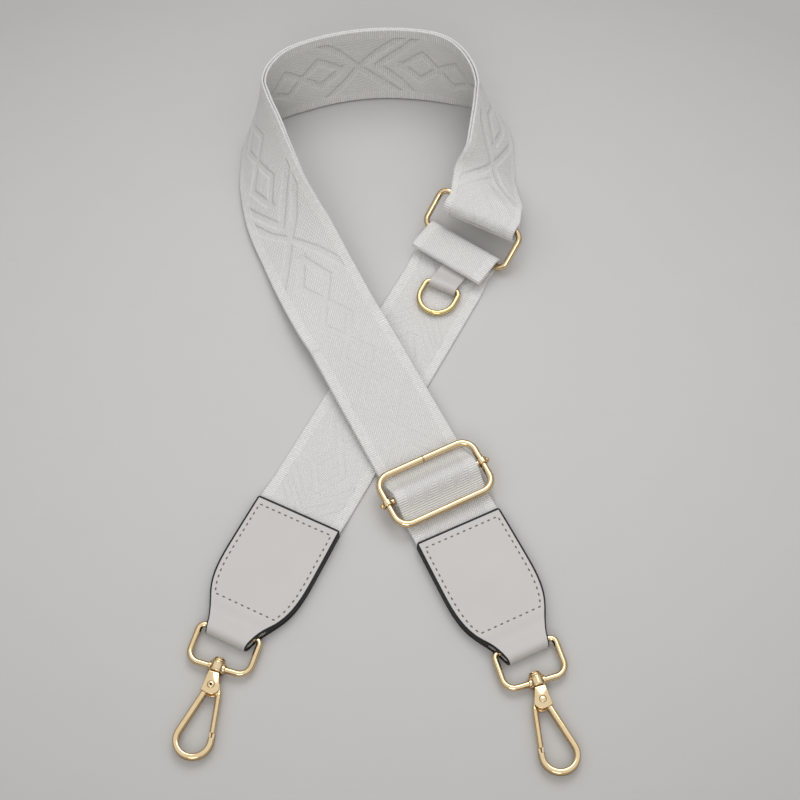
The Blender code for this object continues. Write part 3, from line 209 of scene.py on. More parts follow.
def sample_route(stations, step):
    """Even samples of (distance, place, along, across, up) on a smooth curve through the stations."""
    knots = [0.0]
    for a, b in zip(stations, stations[1:]):
        knots.append(knots[-1] + math.hypot(b[0] - a[0], b[1] - a[1]))
    slopes = []
    for i in range(len(stations)):
        low, high = max(0, i - 1), min(len(stations) - 1, i + 1)
        span = knots[high] - knots[low]
        slopes.append([(b - a) / span for a, b in zip(stations[low], stations[high])])
    count = math.ceil(knots[-1] / step)
    values = []
    segment = 0
    for sample in range(count + 1):
        at = knots[-1] * sample / count
        while segment < len(knots) - 2 and at > knots[segment + 1]:
            segment += 1
        span = knots[segment + 1] - knots[segment]
        t = (at - knots[segment]) / span
        values.append([hermite(a, b, ma * span, mb * span, t) for a, b, ma, mb in
                       zip(stations[segment], stations[segment + 1], slopes[segment], slopes[segment + 1])])
    samples = []
    distance = 0.0
    for i, (x, y, lean, height) in enumerate(values):
        low, high = values[max(0, i - 1)], values[min(count, i + 1)]
        along = Vector((high[0] - low[0], high[1] - low[1], high[3] - low[3])).normalized()
        right = Vector((along.y, -along.x, 0.0)).normalized()
        across = right * math.cos(math.radians(lean)) + Vector((0.0, 0.0, math.sin(math.radians(lean))))
        across = (across - along * across.dot(along)).normalized()
        point = Vector((x, y, height))
        if samples:
            distance += (point - samples[-1][1]).length
        samples.append((distance, point, along, across, across.cross(along)))
    return samples


# Materials. Sizes inside them are in millimetres, as in the attributes that the straps carry.

class Nodes:
    """Writes a material's nodes from short calls."""

    def __init__(self, name):
        self.material = bpy.data.materials.new(name)
        self.material.use_nodes = True
        self.tree = self.material.node_tree
        self.shader = self.tree.nodes["Principled BSDF"]

    def link(self, value, socket):
        if isinstance(value, bpy.types.NodeSocket):
            self.tree.links.new(value, socket)
        else:
            socket.default_value = value

    def math(self, operation, *values, clamp=False):
        node = self.tree.nodes.new("ShaderNodeMath")
        node.operation = operation
        node.use_clamp = clamp
        for value, socket in zip(values, node.inputs):
            self.link(value, socket)
        return node.outputs[0]

    def attribute(self, name):
        node = self.tree.nodes.new("ShaderNodeAttribute")
        node.attribute_name = name
        return self.split(node.outputs["Vector"])

    def split(self, vector):
        node = self.tree.nodes.new("ShaderNodeSeparateXYZ")
        self.link(vector, node.inputs[0])
        return list(node.outputs)

    def length(self, vector):
        node = self.tree.nodes.new("ShaderNodeVectorMath")
        node.operation = "LENGTH"
        self.link(vector, node.inputs[0])
        return node.outputs["Value"]

    def place(self):
        """Object coordinates in millimetres."""
        node = self.tree.nodes.new("ShaderNodeTexCoord")
        scale = self.tree.nodes.new("ShaderNodeVectorMath")
        scale.operation = "SCALE"
        self.link(node.outputs["Object"], scale.inputs[0])
        scale.inputs["Scale"].default_value = 1 / MM
        return scale.outputs[0]

    def join(self, x, y, z):
        node = self.tree.nodes.new("ShaderNodeCombineXYZ")
        for value, socket in zip((x, y, z), node.inputs):
            self.link(value, socket)
        return node.outputs[0]

    def noise(self, vector, scale, detail=2.0, roughness=0.5):
        node = self.tree.nodes.new("ShaderNodeTexNoise")
        self.link(vector, node.inputs["Vector"])
        node.inputs["Scale"].default_value = scale
        node.inputs["Detail"].default_value = detail
        node.inputs["Roughness"].default_value = roughness
        return node.outputs["Fac"]

    def cells(self, vector, scale, feature="F1"):
        node = self.tree.nodes.new("ShaderNodeTexVoronoi")
        node.feature = feature
        self.link(vector, node.inputs["Vector"])
        node.inputs["Scale"].default_value = scale
        return node.outputs["Distance"]

    def wave(self, value, pitch, phase=0.0):
        """Sine of a distance, from 0 to 1."""
        angle = self.math("MULTIPLY_ADD", value, 2 * math.pi / pitch, phase)
        return self.math("MULTIPLY_ADD", self.math("SINE", angle), 0.5, 0.5)

    def mix(self, share, a, b):
        """Number between a and b."""
        node = self.tree.nodes.new("ShaderNodeMix")
        node.data_type = "FLOAT"
        node.clamp_factor = True
        self.link(share, node.inputs[0])
        self.link(a, node.inputs[2])
        self.link(b, node.inputs[3])
        return node.outputs[0]

    def blend(self, share, a, b):
        """Colour between a and b."""
        node = self.tree.nodes.new("ShaderNodeMix")
        node.data_type = "RGBA"
        self.link(share, node.inputs[0])
        for value, socket in ((a, node.inputs[6]), (b, node.inputs[7])):
            self.link((*value, 1.0) if isinstance(value, tuple) else value, socket)
        return node.outputs[2]

    def away(self, a, b):
        """Distance between two numbers."""
        return self.math("ABSOLUTE", self.math("SUBTRACT", a, b))

    def near(self, value, centre, half, soft):
        """1 within half of centre, falling to 0 over soft."""
        return self.above(half, self.away(value, centre), soft)

    def above(self, value, edge, soft):
        """0 to 1 as value passes edge, over a width of soft."""
        return self.math("MULTIPLY_ADD", self.math("SUBTRACT", value, edge), 1 / soft, 0.5, clamp=True)

    def bump(self, height, distance, strength):
        node = self.tree.nodes.new("ShaderNodeBump")
        self.link(height, node.inputs["Height"])
        node.inputs["Distance"].default_value = distance
        node.inputs["Strength"].default_value = strength
        return node.outputs[0]

    def finish(self, **sockets):
        for name, value in sockets.items():
            socket = self.shader.inputs[name.replace("_", " ")]
            self.link((*value, 1.0) if isinstance(value, tuple) else value, socket)
        return self.material


# The woven pattern: crossed bands, chains of diamonds and chevrons between them. w runs along the
# strap from one crossing (0) to the next (SHORT_SPAN), where a chain of diamonds meets both
# crossings, and on to the one after (LONG_SPAN), where a chevron stands at each end of the chain.
SHORT_SPAN, LONG_SPAN = 110.0, 238.0
DIAMOND_PITCH, DIAMOND_HEIGHT = 22.0, 6.9
CROSS_SLOPE = 0.78
CHEVRON_START, CHEVRON_SLOPE = 9.5, 0.86
CHAIN_START_SHORT, CHAIN_START_LONG = 11.0, 20.0
BAND_HALF_WIDTH = 1.55
FIELD_HALF_WIDTH = 14.6
NO_BAND, BAND_START = 50.0, -1.5


def upright(slope):
    """Share of a gap measured straight across the strap that lies at right angles to a sloping band."""
    return math.cos(math.atan(slope))


def band_distance(nodes, u, w):
    """Distance from the nearest band's middle line, in millimetres."""
    m = nodes.math
    at = m("FLOORED_MODULO", w, LONG_SPAN)
    is_long = m("GREATER_THAN", at, SHORT_SPAN)
    middle_short, middle_long = SHORT_SPAN / 2, (SHORT_SPAN + LONG_SPAN) / 2
    from_short = m("SUBTRACT", middle_short, nodes.away(at, middle_short))
    half_long = (LONG_SPAN - SHORT_SPAN) / 2
    from_long = m("SUBTRACT", half_long, nodes.away(at, middle_long))
    t = nodes.mix(is_long, from_short, from_long)
    chain = nodes.mix(is_long, CHAIN_START_SHORT, CHAIN_START_LONG)
    side = m("ABSOLUTE", u)
    cross = m("MULTIPLY", nodes.away(side, m("MULTIPLY", t, CROSS_SLOPE)), upright(CROSS_SLOPE))
    past = m("SUBTRACT", t, CHEVRON_START)
    chevron = m("MULTIPLY", nodes.away(side, m("MULTIPLY", past, CHEVRON_SLOPE)), upright(CHEVRON_SLOPE))
    chevron = m("MULTIPLY_ADD", m("SUBTRACT", 1.0, is_long), NO_BAND, chevron)
    chevron = m("MULTIPLY_ADD", m("LESS_THAN", past, BAND_START), NO_BAND, chevron)
    into = m("SUBTRACT", t, chain)
    half = DIAMOND_PITCH / 2
    saw = nodes.away(m("FLOORED_MODULO", into, DIAMOND_PITCH), half)
    rise = m("MULTIPLY", m("SUBTRACT", half, saw), DIAMOND_HEIGHT / half)
    diamond = m("MULTIPLY", nodes.away(side, rise), upright(DIAMOND_HEIGHT / half))
    diamond = m("MULTIPLY_ADD", m("LESS_THAN", into, BAND_START), NO_BAND, diamond)
    return m("MINIMUM", m("MINIMUM", cross, chevron), diamond)


def band_depth(u, w):
    """The same pattern for the mesh: 1 in the middle of a band, 0 outside it."""
    at = np.mod(w, LONG_SPAN)
    is_long = at > SHORT_SPAN
    from_short = SHORT_SPAN / 2 - np.abs(at - SHORT_SPAN / 2)
    from_long = (LONG_SPAN - SHORT_SPAN) / 2 - np.abs(at - (SHORT_SPAN + LONG_SPAN) / 2)
    t = np.where(is_long, from_long, from_short)
    into = t - np.where(is_long, CHAIN_START_LONG, CHAIN_START_SHORT)
    side = np.abs(u)
    cross = np.abs(side - t * CROSS_SLOPE) * upright(CROSS_SLOPE)
    past = t - CHEVRON_START
    chevron = np.abs(side - past * CHEVRON_SLOPE) * upright(CHEVRON_SLOPE)
    chevron = chevron + NO_BAND * (~is_long | (past < BAND_START))
    half = DIAMOND_PITCH / 2
    rise = (half - np.abs(np.mod(into, DIAMOND_PITCH) - half)) * DIAMOND_HEIGHT / half
    diamond = np.abs(side - rise) * upright(DIAMOND_HEIGHT / half) + NO_BAND * (into < BAND_START)
    away = np.minimum(np.minimum(cross, chevron), diamond)
    inside = np.clip((BAND_HALF_WIDTH - away) / 1.0 + 0.5, 0, 1)
    return inside * np.clip((FIELD_HALF_WIDTH - side) / 0.8, 0, 1)


def woven_threads(n, across, along, ribbed, in_band, selvedge):
    """Height of the threads: ribs in the bands and along the edges, twill or speckle between them."""
    m = n.math
    flat = n.join(across, along, 0.0)
    jitter = m("MULTIPLY_ADD", n.noise(flat, 1.6, 1.0), 0.6, -0.3)
    ribs = n.wave(m("ADD", along, jitter), 0.96)
    zigzag = m("MAXIMUM", ribbed, 0.0, clamp=True)
    ribs = n.mix(zigzag, ribs, n.wave(m("MULTIPLY_ADD", jitter, 0.2, along), 1.05))
    pairs = n.above(n.wave(m("ADD", along, jitter), 5.2), 0.62, 0.5)
    picks = n.noise(n.join(m("MULTIPLY", across, 0.35), along, 0.0), 1.3, 1.0)
    twill_line = m("MULTIPLY_ADD", along, -0.27, m("ADD", across, jitter))
    twill = n.wave(twill_line, 0.86)
    dashes = n.wave(m("MULTIPLY_ADD", twill_line, 1.7, along), 2.3)
    twill = m("MULTIPLY", twill, m("MULTIPLY_ADD", dashes, 0.55, 0.45))
    broken = n.noise(n.join(across, m("MULTIPLY", along, 0.5), 0.0), 2.1, 2.0)
    twill = m("MULTIPLY", twill, m("MULTIPLY_ADD", broken, 0.9, 0.55))
    speckle = n.above(n.noise(flat, 1.5, 2.0, 0.75), 0.5, 0.22)
    twill = n.mix(m("MULTIPLY", ribbed, -1.0, clamp=True), twill, speckle)
    in_ribs = m("MAXIMUM", m("MAXIMUM", in_band, selvedge), zigzag)
    rib_height = m("MULTIPLY", ribs, m("MULTIPLY_ADD", m("MULTIPLY", pairs, selvedge), 0.5, 0.80))
    rib_height = m("MULTIPLY", rib_height, m("MULTIPLY_ADD", picks, 0.9, 0.5))
    weave = n.mix(in_ribs, twill, rib_height)
    return weave, ribs, zigzag


def woven(name, colour):
    """White jacquard webbing. weave holds (u, w, how much pattern) and thread holds (u, v, ribs)."""
    n = Nodes(name)
    m = n.math
    u, w, patterned = n.attribute("weave")
    across, along, ribbed = n.attribute("thread")
    flat = n.join(across, along, 0.0)
    wobble = m("MULTIPLY_ADD", n.noise(flat, 0.7, 1.0), 0.5, -0.25)
    side = m("ABSOLUTE", across)
    selvedge = n.above(side, FIELD_HALF_WIDTH, 0.5)
    field = m("SUBTRACT", 1.0, selvedge)
    away = band_distance(n, m("ADD", u, wobble), w)
    in_band = n.above(BAND_HALF_WIDTH, away, 0.35)
    in_band = m("MULTIPLY", m("MULTIPLY", in_band, patterned), field)
    # rim marks a thin line just outside each band's edge, where a painted highlight goes.
    rim = m("MULTIPLY", n.near(away, BAND_HALF_WIDTH + 0.25, 0.12, 0.3), patterned)
    rim = m("MULTIPLY", rim, field)
    weave, ribs, zigzag = woven_threads(n, across, along, ribbed, in_band, selvedge)
    groove = m("MULTIPLY", n.above(BAND_HALF_WIDTH, away, 0.9), patterned)
    groove = m("MULTIPLY", groove, field)
    wall = m("MULTIPLY", m("MULTIPLY", groove, m("SUBTRACT", 1.0, groove)), 4.0)
    height = m("MULTIPLY_ADD", weave, 0.9, m("MULTIPLY", groove, -2.2))
    fuzz = n.noise(flat, 6.0, 2.0, 0.7)
    height = m("MULTIPLY_ADD", fuzz, 0.16, height)
    # The threads' texture sets the colour as well: partly their own tone, partly painted shade between the
    # threads.
    shade = m("MULTIPLY_ADD", weave, 0.85, 0.16)
    # Painted highlight: a thin lighter line just outside each band's edge (rim).
    shade = m("MULTIPLY_ADD", rim, 0.10, shade)
    # Painted shade: darker between the ribs of the zigzag teeth, standing for the shaded lower half of the
    # bulge over the slider.
    shade = m("MULTIPLY_ADD", m("MULTIPLY", zigzag, m("SUBTRACT", 0.55, ribs)), -0.5, shade)
    # Painted shade: the recessed bands a little, and the walls of their grooves more, are darkened where
    # shade falls.
    shade = m("MULTIPLY_ADD", in_band, -0.04, shade)
    shade = m("MULTIPLY_ADD", wall, -0.06, shade)
    shade = m("MULTIPLY_ADD", selvedge, 0.08, shade)
    broad = n.noise(flat, 0.045, 2.0)
    shade = m("MULTIPLY_ADD", broad, 0.14, m("SUBTRACT", shade, 0.07), clamp=True)
    light = tuple(min(1.0, c * 1.18) for c in colour)
    dark = tuple(c * 0.74 for c in colour)
    tint = n.blend(shade, dark, light)
    rough = m("MULTIPLY_ADD", weave, -0.12, 0.62)
    normal = n.bump(height, 0.19 * MM, 0.9)
    return n.finish(Base_Color=tint, Roughness=rough, Normal=normal, Sheen_Weight=0.12,
                    Sheen_Roughness=0.45, Specular_IOR_Level=0.35)


def leather(name, colour):
    """Smooth coated leather with a fine grain."""
    n = Nodes(name)
    m = n.math
    place = n.place()
    grain = n.cells(place, 2.3, "DISTANCE_TO_EDGE")
    grain = n.above(grain, 0.12, 0.24)
    pores = n.noise(place, 5.5, 3.0, 0.6)
    swell = n.noise(place, 0.16, 2.0)
    height = m("MULTIPLY_ADD", grain, 0.35, m("MULTIPLY", pores, 0.4))
    height = m("MULTIPLY_ADD", swell, 2.2, height)
    stain = n.noise(place, 0.07, 3.0)
    tint = n.blend(m("MULTIPLY_ADD", m("SUBTRACT", stain, 0.5), 1.4, 0.5, clamp=True),
                   tuple(c * 0.975 for c in colour), tuple(min(1.0, c * 1.02) for c in colour))
    rough = m("MULTIPLY_ADD", pores, 0.16, 0.40)
    return n.finish(Base_Color=tint, Roughness=rough, Normal=n.bump(height, 0.05 * MM, 0.5),
                    Specular_IOR_Level=0.42)


def edge_paint(name):
    """Black edge paint, slightly glossy and uneven."""
    n = Nodes(name)
    m = n.math
    place = n.place()
    drips = n.noise(place, 0.9, 3.0)
    tint = n.blend(drips, (0.004, 0.004, 0.005), (0.014, 0.014, 0.016))
    rough = m("MULTIPLY_ADD", drips, 0.2, 0.42)
    return n.finish(Base_Color=tint, Roughness=rough, Normal=n.bump(drips, 0.12 * MM, 0.6),
                    Specular_IOR_Level=0.3)


def plated(name, colour, roughness, dull):
    """Pale gold plating with light polishing marks, warmer and duller in patches."""
    n = Nodes(name)
    m = n.math
    place = n.place()
    patches = n.noise(place, 0.22, 3.0)
    marks = n.noise(place, 2.6, 4.0, 0.65)
    warm = tuple(c * k for c, k in zip(colour, (0.96, 0.90, 0.80)))
    tint = n.blend(m("MULTIPLY_ADD", m("SUBTRACT", patches, 0.42), 2.4, 0.25, clamp=True), colour, warm)
    rough = m("MULTIPLY_ADD", patches, dull, m("MULTIPLY_ADD", marks, 0.05, roughness))
    return n.finish(Base_Color=tint, Roughness=rough, Metallic=1.0, Normal=n.bump(marks, 0.006 * MM, 0.2),
                    Specular_Tint=(0.45, 0.32, 0.20))


def spring_wire(name):
    n = Nodes(name)
    streaks = n.noise(n.place(), 4.0, 3.0)
    tint = n.blend(streaks, (0.42, 0.40, 0.37), (0.62, 0.60, 0.57))
    return n.finish(Base_Color=tint, Roughness=n.math("MULTIPLY_ADD", streaks, 0.2, 0.24), Metallic=1.0)


def sewing_thread(name, colour):
    """Thread, mottled light and dark."""
    n = Nodes(name)
    m = n.math
    place = n.place()
    ply = n.noise(place, 3.2, 2.0)
    tint = n.blend(ply, tuple(c * 0.72 for c in colour), tuple(min(1.0, c * 1.25) for c in colour))
    return n.finish(Base_Color=tint, Roughness=m("MULTIPLY_ADD", ply, 0.15, 0.62),
                    Normal=n.bump(ply, 0.1 * MM, 0.7), Specular_IOR_Level=0.3)


def table_top(name, colour):
    """Pale matt table: faint mottling, a few scuffs, and painted shade that darkens it away from the strap.
    """
    n = Nodes(name)
    m = n.math
    place = n.place()
    mottle = n.noise(place, 0.05, 3.0)
    x, y, z = n.split(place)
    scuffs = n.noise(n.join(m("MULTIPLY", x, 0.16), m("MULTIPLY", y, 0.9), z), 0.24, 4.0, 0.7)
    radius = m("DIVIDE", n.length(n.join(x, m("MULTIPLY", y, 1.2), z)), 260.0)
    # Painted shade: the table darkens with distance from the strap, as the light falls off.
    painted_fall_off = m("MINIMUM", m("MULTIPLY", m("MULTIPLY", radius, radius), 0.16), 0.26)
    scuff = m("MULTIPLY", n.above(scuffs, 0.66, 0.10), 0.018)
    shade = m("SUBTRACT", m("MULTIPLY_ADD", mottle, 0.022, 0.99), m("ADD", painted_fall_off, scuff))
    tint = n.blend(m("MULTIPLY", shade, 1.0, clamp=True), (0.0, 0.0, 0.0), colour)
    fine = n.noise(place, 3.0, 3.0)
    return n.finish(Base_Color=tint, Roughness=0.72, Normal=n.bump(fine, 0.03 * MM, 0.4),
                    Specular_IOR_Level=0.2)


WEBBING = woven("white_webbing", (0.71, 0.70, 0.68))
LEATHER = leather("white_leather", (0.56, 0.535, 0.52))
EDGE = edge_paint("edge_paint")
THREAD = sewing_thread("olive_thread", (0.17, 0.165, 0.125))
GOLD = plated("pale_gold", (0.85, 0.68, 0.43), 0.045, 0.04)
YELLOW_GOLD = plated("yellow_gold", (0.84, 0.68, 0.34), 0.045, 0.04)
STEEL = spring_wire("spring_wire")


# Meshes

def add(name, mesh, materials, body, replaced=()):
    """Object of the scene that rides on a body and stands for CAD nodes."""
    made = bpy.data.objects.new(name, mesh)
    bpy.context.scene.collection.objects.link(made)
    for material in materials:
        mesh.materials.append(material)
    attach(made, body)
    if replaced:
        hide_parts(*replaced)
    return made


def mesh_of(name, vertices, faces, smooth=True):
    mesh = bpy.data.meshes.new(name)
    mesh.from_pydata([tuple(map(float, v)) for v in vertices], [], [tuple(map(int, f)) for f in faces])
    mesh.update()
    if smooth:
        mesh.shade_smooth()
    return mesh


def store(mesh, name, values):
    """Vector attribute of a mesh's points."""
    layer = mesh.attributes.new(name, "FLOAT_VECTOR", "POINT")
    layer.data.foreach_set("vector", np.asarray(values, dtype=np.float32).ravel())


def run_lengths(points):
    """Distance of each point along a path."""
    return np.concatenate([[0.0], np.cumsum(np.linalg.norm(np.diff(points, axis=0), axis=1))])


def even_path(points, step):
    """Points at even spacing on a path, with the distance of each."""
    points = np.asarray(points, dtype=float)
    runs = run_lengths(points)
    count = max(2, int(math.ceil(runs[-1] / step)) + 1)
    at = np.linspace(0.0, runs[-1], count)
    return np.stack([np.interp(at, runs, points[:, k]) for k in range(points.shape[1])], axis=1), at


def softened(points, passes):
    """Path with its corners rounded by averaging, its ends kept."""
    points = np.array(points, dtype=float)
    for _ in range(passes):
        inner = (points[:-2] + 2 * points[1:-1] + points[2:]) / 4
        points = np.concatenate([points[:1], inner, points[-1:]])
    return points


def unit(vectors):
    return vectors / np.linalg.norm(vectors, axis=1, keepdims=True)


def strip_section(columns, under, inner):
    """Section of a strip as (share of the width, outward, level, cut, side), and where its back begins."""
    shares, back = np.linspace(-1, 1, columns), np.linspace(1, -1, under)
    if inner is not None:
        shares = np.concatenate([[-1.0], np.linspace(-inner, inner, columns - 2), [1.0]])
        back = np.concatenate([[1.0], np.linspace(inner, -inner, under - 2), [-1.0]])
    corner = [(math.sin(math.radians(a)), math.cos(math.radians(a))) for a in (22, 45, 68, 90)]
    section = [(share, 0.0, 1.0, 0.0, 1) for share in shares]
    section += [(1.0, s, 1.0, 1 - c, 0) for s, c in corner]
    section += [(1.0, s, -1.0, 1 - c, 0) for s, c in reversed(corner)]
    section += [(share, 0.0, -1.0, 0.0, -1) for share in back]
    section += [(-1.0, -s, -1.0, 1 - c, 0) for s, c in corner]
    section += [(-1.0, -s, 1.0, 1 - c, 0) for s, c in reversed(corner)]
    return section, columns + 2 * len(corner)


def strip(middles, across, half, thickness, columns, under, edge, face_lift=None, border=None):
    """Closed strip with rounded edges along rows. Returns points, faces, u, row and side of each point.

    columns and under are the counts of points over the face and the back; edge is the radius of
    the strip's edges; face_lift(u, rows) raises the face; border is the width of a painted border.
    """
    rows = len(middles)
    travel = unit(np.gradient(middles, axis=0))
    across = unit(across)
    up = unit(np.cross(across, travel))
    half = np.broadcast_to(np.asarray(half, dtype=float), (rows,))
    thin = np.broadcast_to(np.asarray(thickness, dtype=float), (rows,)) / 2
    inner = None if border is None else 1 - border / float(half.max())
    section, back_at = strip_section(columns, under, inner)
    wide = len(section)
    points = np.zeros((rows, wide, 3))
    us = np.zeros((rows, wide))
    sides = np.zeros((rows, wide))
    for j, (share, out, level, cut, side) in enumerate(section):
        u = share * (half - edge) + out * edge
        z = level * (thin - cut * edge)
        us[:, j] = u
        sides[:, j] = side
        if side == 1 and face_lift is not None:
            z = z + face_lift(u, np.arange(rows))
        points[:, j] = middles + across * u[:, None] + up * z[:, None]
    index = np.arange(rows * wide).reshape(rows, wide)
    a, b = index[:-1], index[1:]
    faces = np.stack([a, np.roll(a, -1, axis=1), np.roll(b, -1, axis=1), b], axis=-1).reshape(-1, 4)
    caps = [list(index[0][::-1]), list(index[-1])]
    marks = np.array([part[4] for part in section])
    if border is not None:
        marks[[0, columns - 1, back_at, back_at + under - 1]] = 0
    marks = np.tile(marks, (rows - 1, 1))
    marks = np.where((marks == 0) | (np.roll(marks, -1, axis=1) == 0), 1, 0)
    return (points.reshape(-1, 3), faces, caps, us.ravel(), np.repeat(np.arange(rows), wide),
            sides.ravel(), marks)


def strip_mesh(name, result, painted_rows=None):
    """Mesh of a strip; painted_rows is how many rows at each end have the second material too."""
    points, faces, caps, *_, marks = result
    mesh = mesh_of(name, points, [tuple(f) for f in faces] + [tuple(c) for c in caps])
    if painted_rows is not None:
        marks[:painted_rows] = 1
        marks[len(marks) - painted_rows:] = 1
        slots = np.concatenate([marks.ravel(), np.ones(len(caps), dtype=int)]).astype(np.int32)
        mesh.polygons.foreach_set("material_index", slots)
    return mesh


def webbing_piece(name, middles, across, v, weave, body, replaced, lift=0.20 * MM, columns=58,
                  ribbed=None, half=HALF_WIDTH):
    """Woven strap. weave(u mm, v mm) gives (pattern u, pattern w, how much pattern)."""
    v = np.asarray(v) / MM

    def face(u, rows):
        pu, pw, much = weave(u / MM, v[rows])
        return -band_depth(pu, pw) * much * lift
    result = strip(middles, across, half, WEBBING_THICKNESS, columns, 14, WEBBING_THICKNESS * 0.5,
                   face)
    mesh = strip_mesh(name, result)
    us, rows, sides = result[3] / MM, result[4], result[5]
    pu, pw, much = weave(us, v[rows])
    much = np.where(sides >= 0, much, 0.0)
    ribs = np.zeros_like(us) if ribbed is None else ribbed(us, v[rows], sides)
    store(mesh, "weave", np.stack([pu, pw, much], axis=1))
    store(mesh, "thread", np.stack([us, v[rows], ribs], axis=1))
    return add(name, mesh, [WEBBING], body, replaced)


# Where the pattern's crossings and diamonds lie along each strap: (distance along, w)
FRONT_PATTERN = ((-60, -146.5), (76.5, -9.8), (86.5, 0), (98.5, 11), (108.2, 22), (117, 33), (127.5, 44),
                 (137, 55), (147.7, 66), (158.8, 77), (170, 88), (184, 99), (195.8, 110), (203.8, 119.5),
                 (216.7, 130), (229, 141), (241.5, 152), (320, 238), (437, 348), (500, 411))
REAR_PATTERN = ((0, -226), (226, 0), (281, 55), (290.6, 66), (299.2, 77), (308.4, 88), (320, 99),
                (328.2, 110), (337.7, 119.5), (350, 130), (359.5, 141), (368.3, 152), (377.6, 163),
                (387, 174), (450, 238), (560, 348))
SHORT_PATTERN = ((-60, 58), (-5, 110), (5, 119.5), (14, 130), (25, 141), (36, 152), (47, 163), (58, 174),
                 (200, 316))


def along_pattern(v, table):
    return np.interp(v, [a for a, _ in table], [b for _, b in table])


# Long webbing: the front layer from the right tab to the ring, round its far bar, and back
route = sample_route(loop_stations(), 0.8 * MM)
TOTAL = route[-1][0]
fold_heading = ring_far_bar()[1]
fold_right = Vector((fold_heading.y, -fold_heading.x, 0.0))
fold_slope = math.radians(FOLD_LEAN)
fold_across = fold_right * math.cos(fold_slope) + Vector((0, 0, math.sin(fold_slope)))
for i, (distance, point, along, across, _) in enumerate(route):
    share = ease((FOLD_BLEND_RUN - TOTAL + distance) / (FOLD_BLEND_RUN - FOLD_LEVEL_RUN))
    across = across.lerp(fold_across, share).normalized()
    along = along.lerp(fold_heading, share).normalized()
    route[i] = (distance, point, along, across, across.cross(along).normalized())


def squeeze(distance):
    """Share of its width that the strap loses where it cups round the ring."""
    return FOLD_SQUEEZE * ease((SQUEEZE_RUN - abs(TOTAL - distance)) / SQUEEZE_BLEND)


def layer_rows(side, start=0.0):
    rows = []
    for distance, point, _, across, up in route:
        if distance < start:
            continue
        share = min(1.0, max(0.0, (TOTAL - distance - SWAY_START) / SWAY_RUN))
        sway = math.sin(math.pi * share) ** 2 * FOLD_SWAY
        point = point - across * (squeeze(distance) * HALF_WIDTH + sway)
        opening = ease((TOTAL - FOLD_OPEN_RUN - distance) / (FOLD_CLOSE_RUN - FOLD_OPEN_RUN))
        rows.append((point + up * side * lerp(FOLD_RADIUS, LAYER_PITCH / 2, opening), across, distance))
    return rows


def long_webbing():
    front = layer_rows(1)
    _, end, along, across, up = route[-1]
    end = end - across * FOLD_SQUEEZE * HALF_WIDTH
    fold = []
    steps = 22
    for step in range(1, steps):
        angle = math.pi * step / steps
        fold.append((end + (up * math.cos(angle) + along * math.sin(angle)) * FOLD_RADIUS, across,
                     TOTAL + FOLD_RADIUS * angle))
    rear = layer_rows(-1, WEBBING_INSERT + SLIDER_PLACE)[::-1]
    split_at = len(front) + len(fold) // 2
    rows = front + fold + rear
    middles = np.array([tuple(r[0]) for r in rows])
    acrosses = np.array([tuple(r[1]) for r in rows])
    v = np.array([r[2] for r in rows])
    run = run_lengths(middles)
    front_row = np.arange(len(rows)) < split_at
    w_rows = np.where(front_row, along_pattern(v / MM, FRONT_PATTERN), along_pattern(v / MM, REAR_PATTERN))
    shift_rows = np.where(front_row, np.interp(v / MM, [60, 186, 196, 229, 245, 300],
                                               [-0.8, -1.0, -2.0, -3.8, -3.8, 0.0]), -0.4)
    run_mm = run / MM

    def weave(u, at_run):
        w = np.interp(at_run, run_mm, w_rows)
        much = np.interp(at_run, [100, 160, 230, 448, 460, 520, 540],
                         [0.45, 0.72, 1.0, 1.0, 0.5, 0.5, 1.0]) * np.ones_like(u)
        return u - np.interp(at_run, run_mm, shift_rows), w, much
    halves = np.array([HALF_WIDTH * (1 - squeeze(r[2])) for r in rows])
    made = webbing_piece("long_webbing_cloth", middles, acrosses, run, weave, "strap", ["long_webbing"],
                         half=halves)
    return made, run[-1]


def placed(matrix, points):
    return np.array([tuple(matrix @ Vector(p)) for p in points])


def width_rows(matrix, count, sign=1.0):
    """A frame's X, or its reverse, once for each row of a strip."""
    return np.tile(np.array(tuple(matrix.to_3x3() @ Vector((sign, 0.0, 0.0)))), (count, 1))


def side_profile_rows(profile, matrix, step):
    """Rows of a strip whose side view is (along, up) in a frame, its width along the frame's X."""
    path, run = even_path(profile, step)
    middles = placed(matrix, [(0.0, a, b) for a, b in path])
    return middles, width_rows(matrix, len(middles)), run


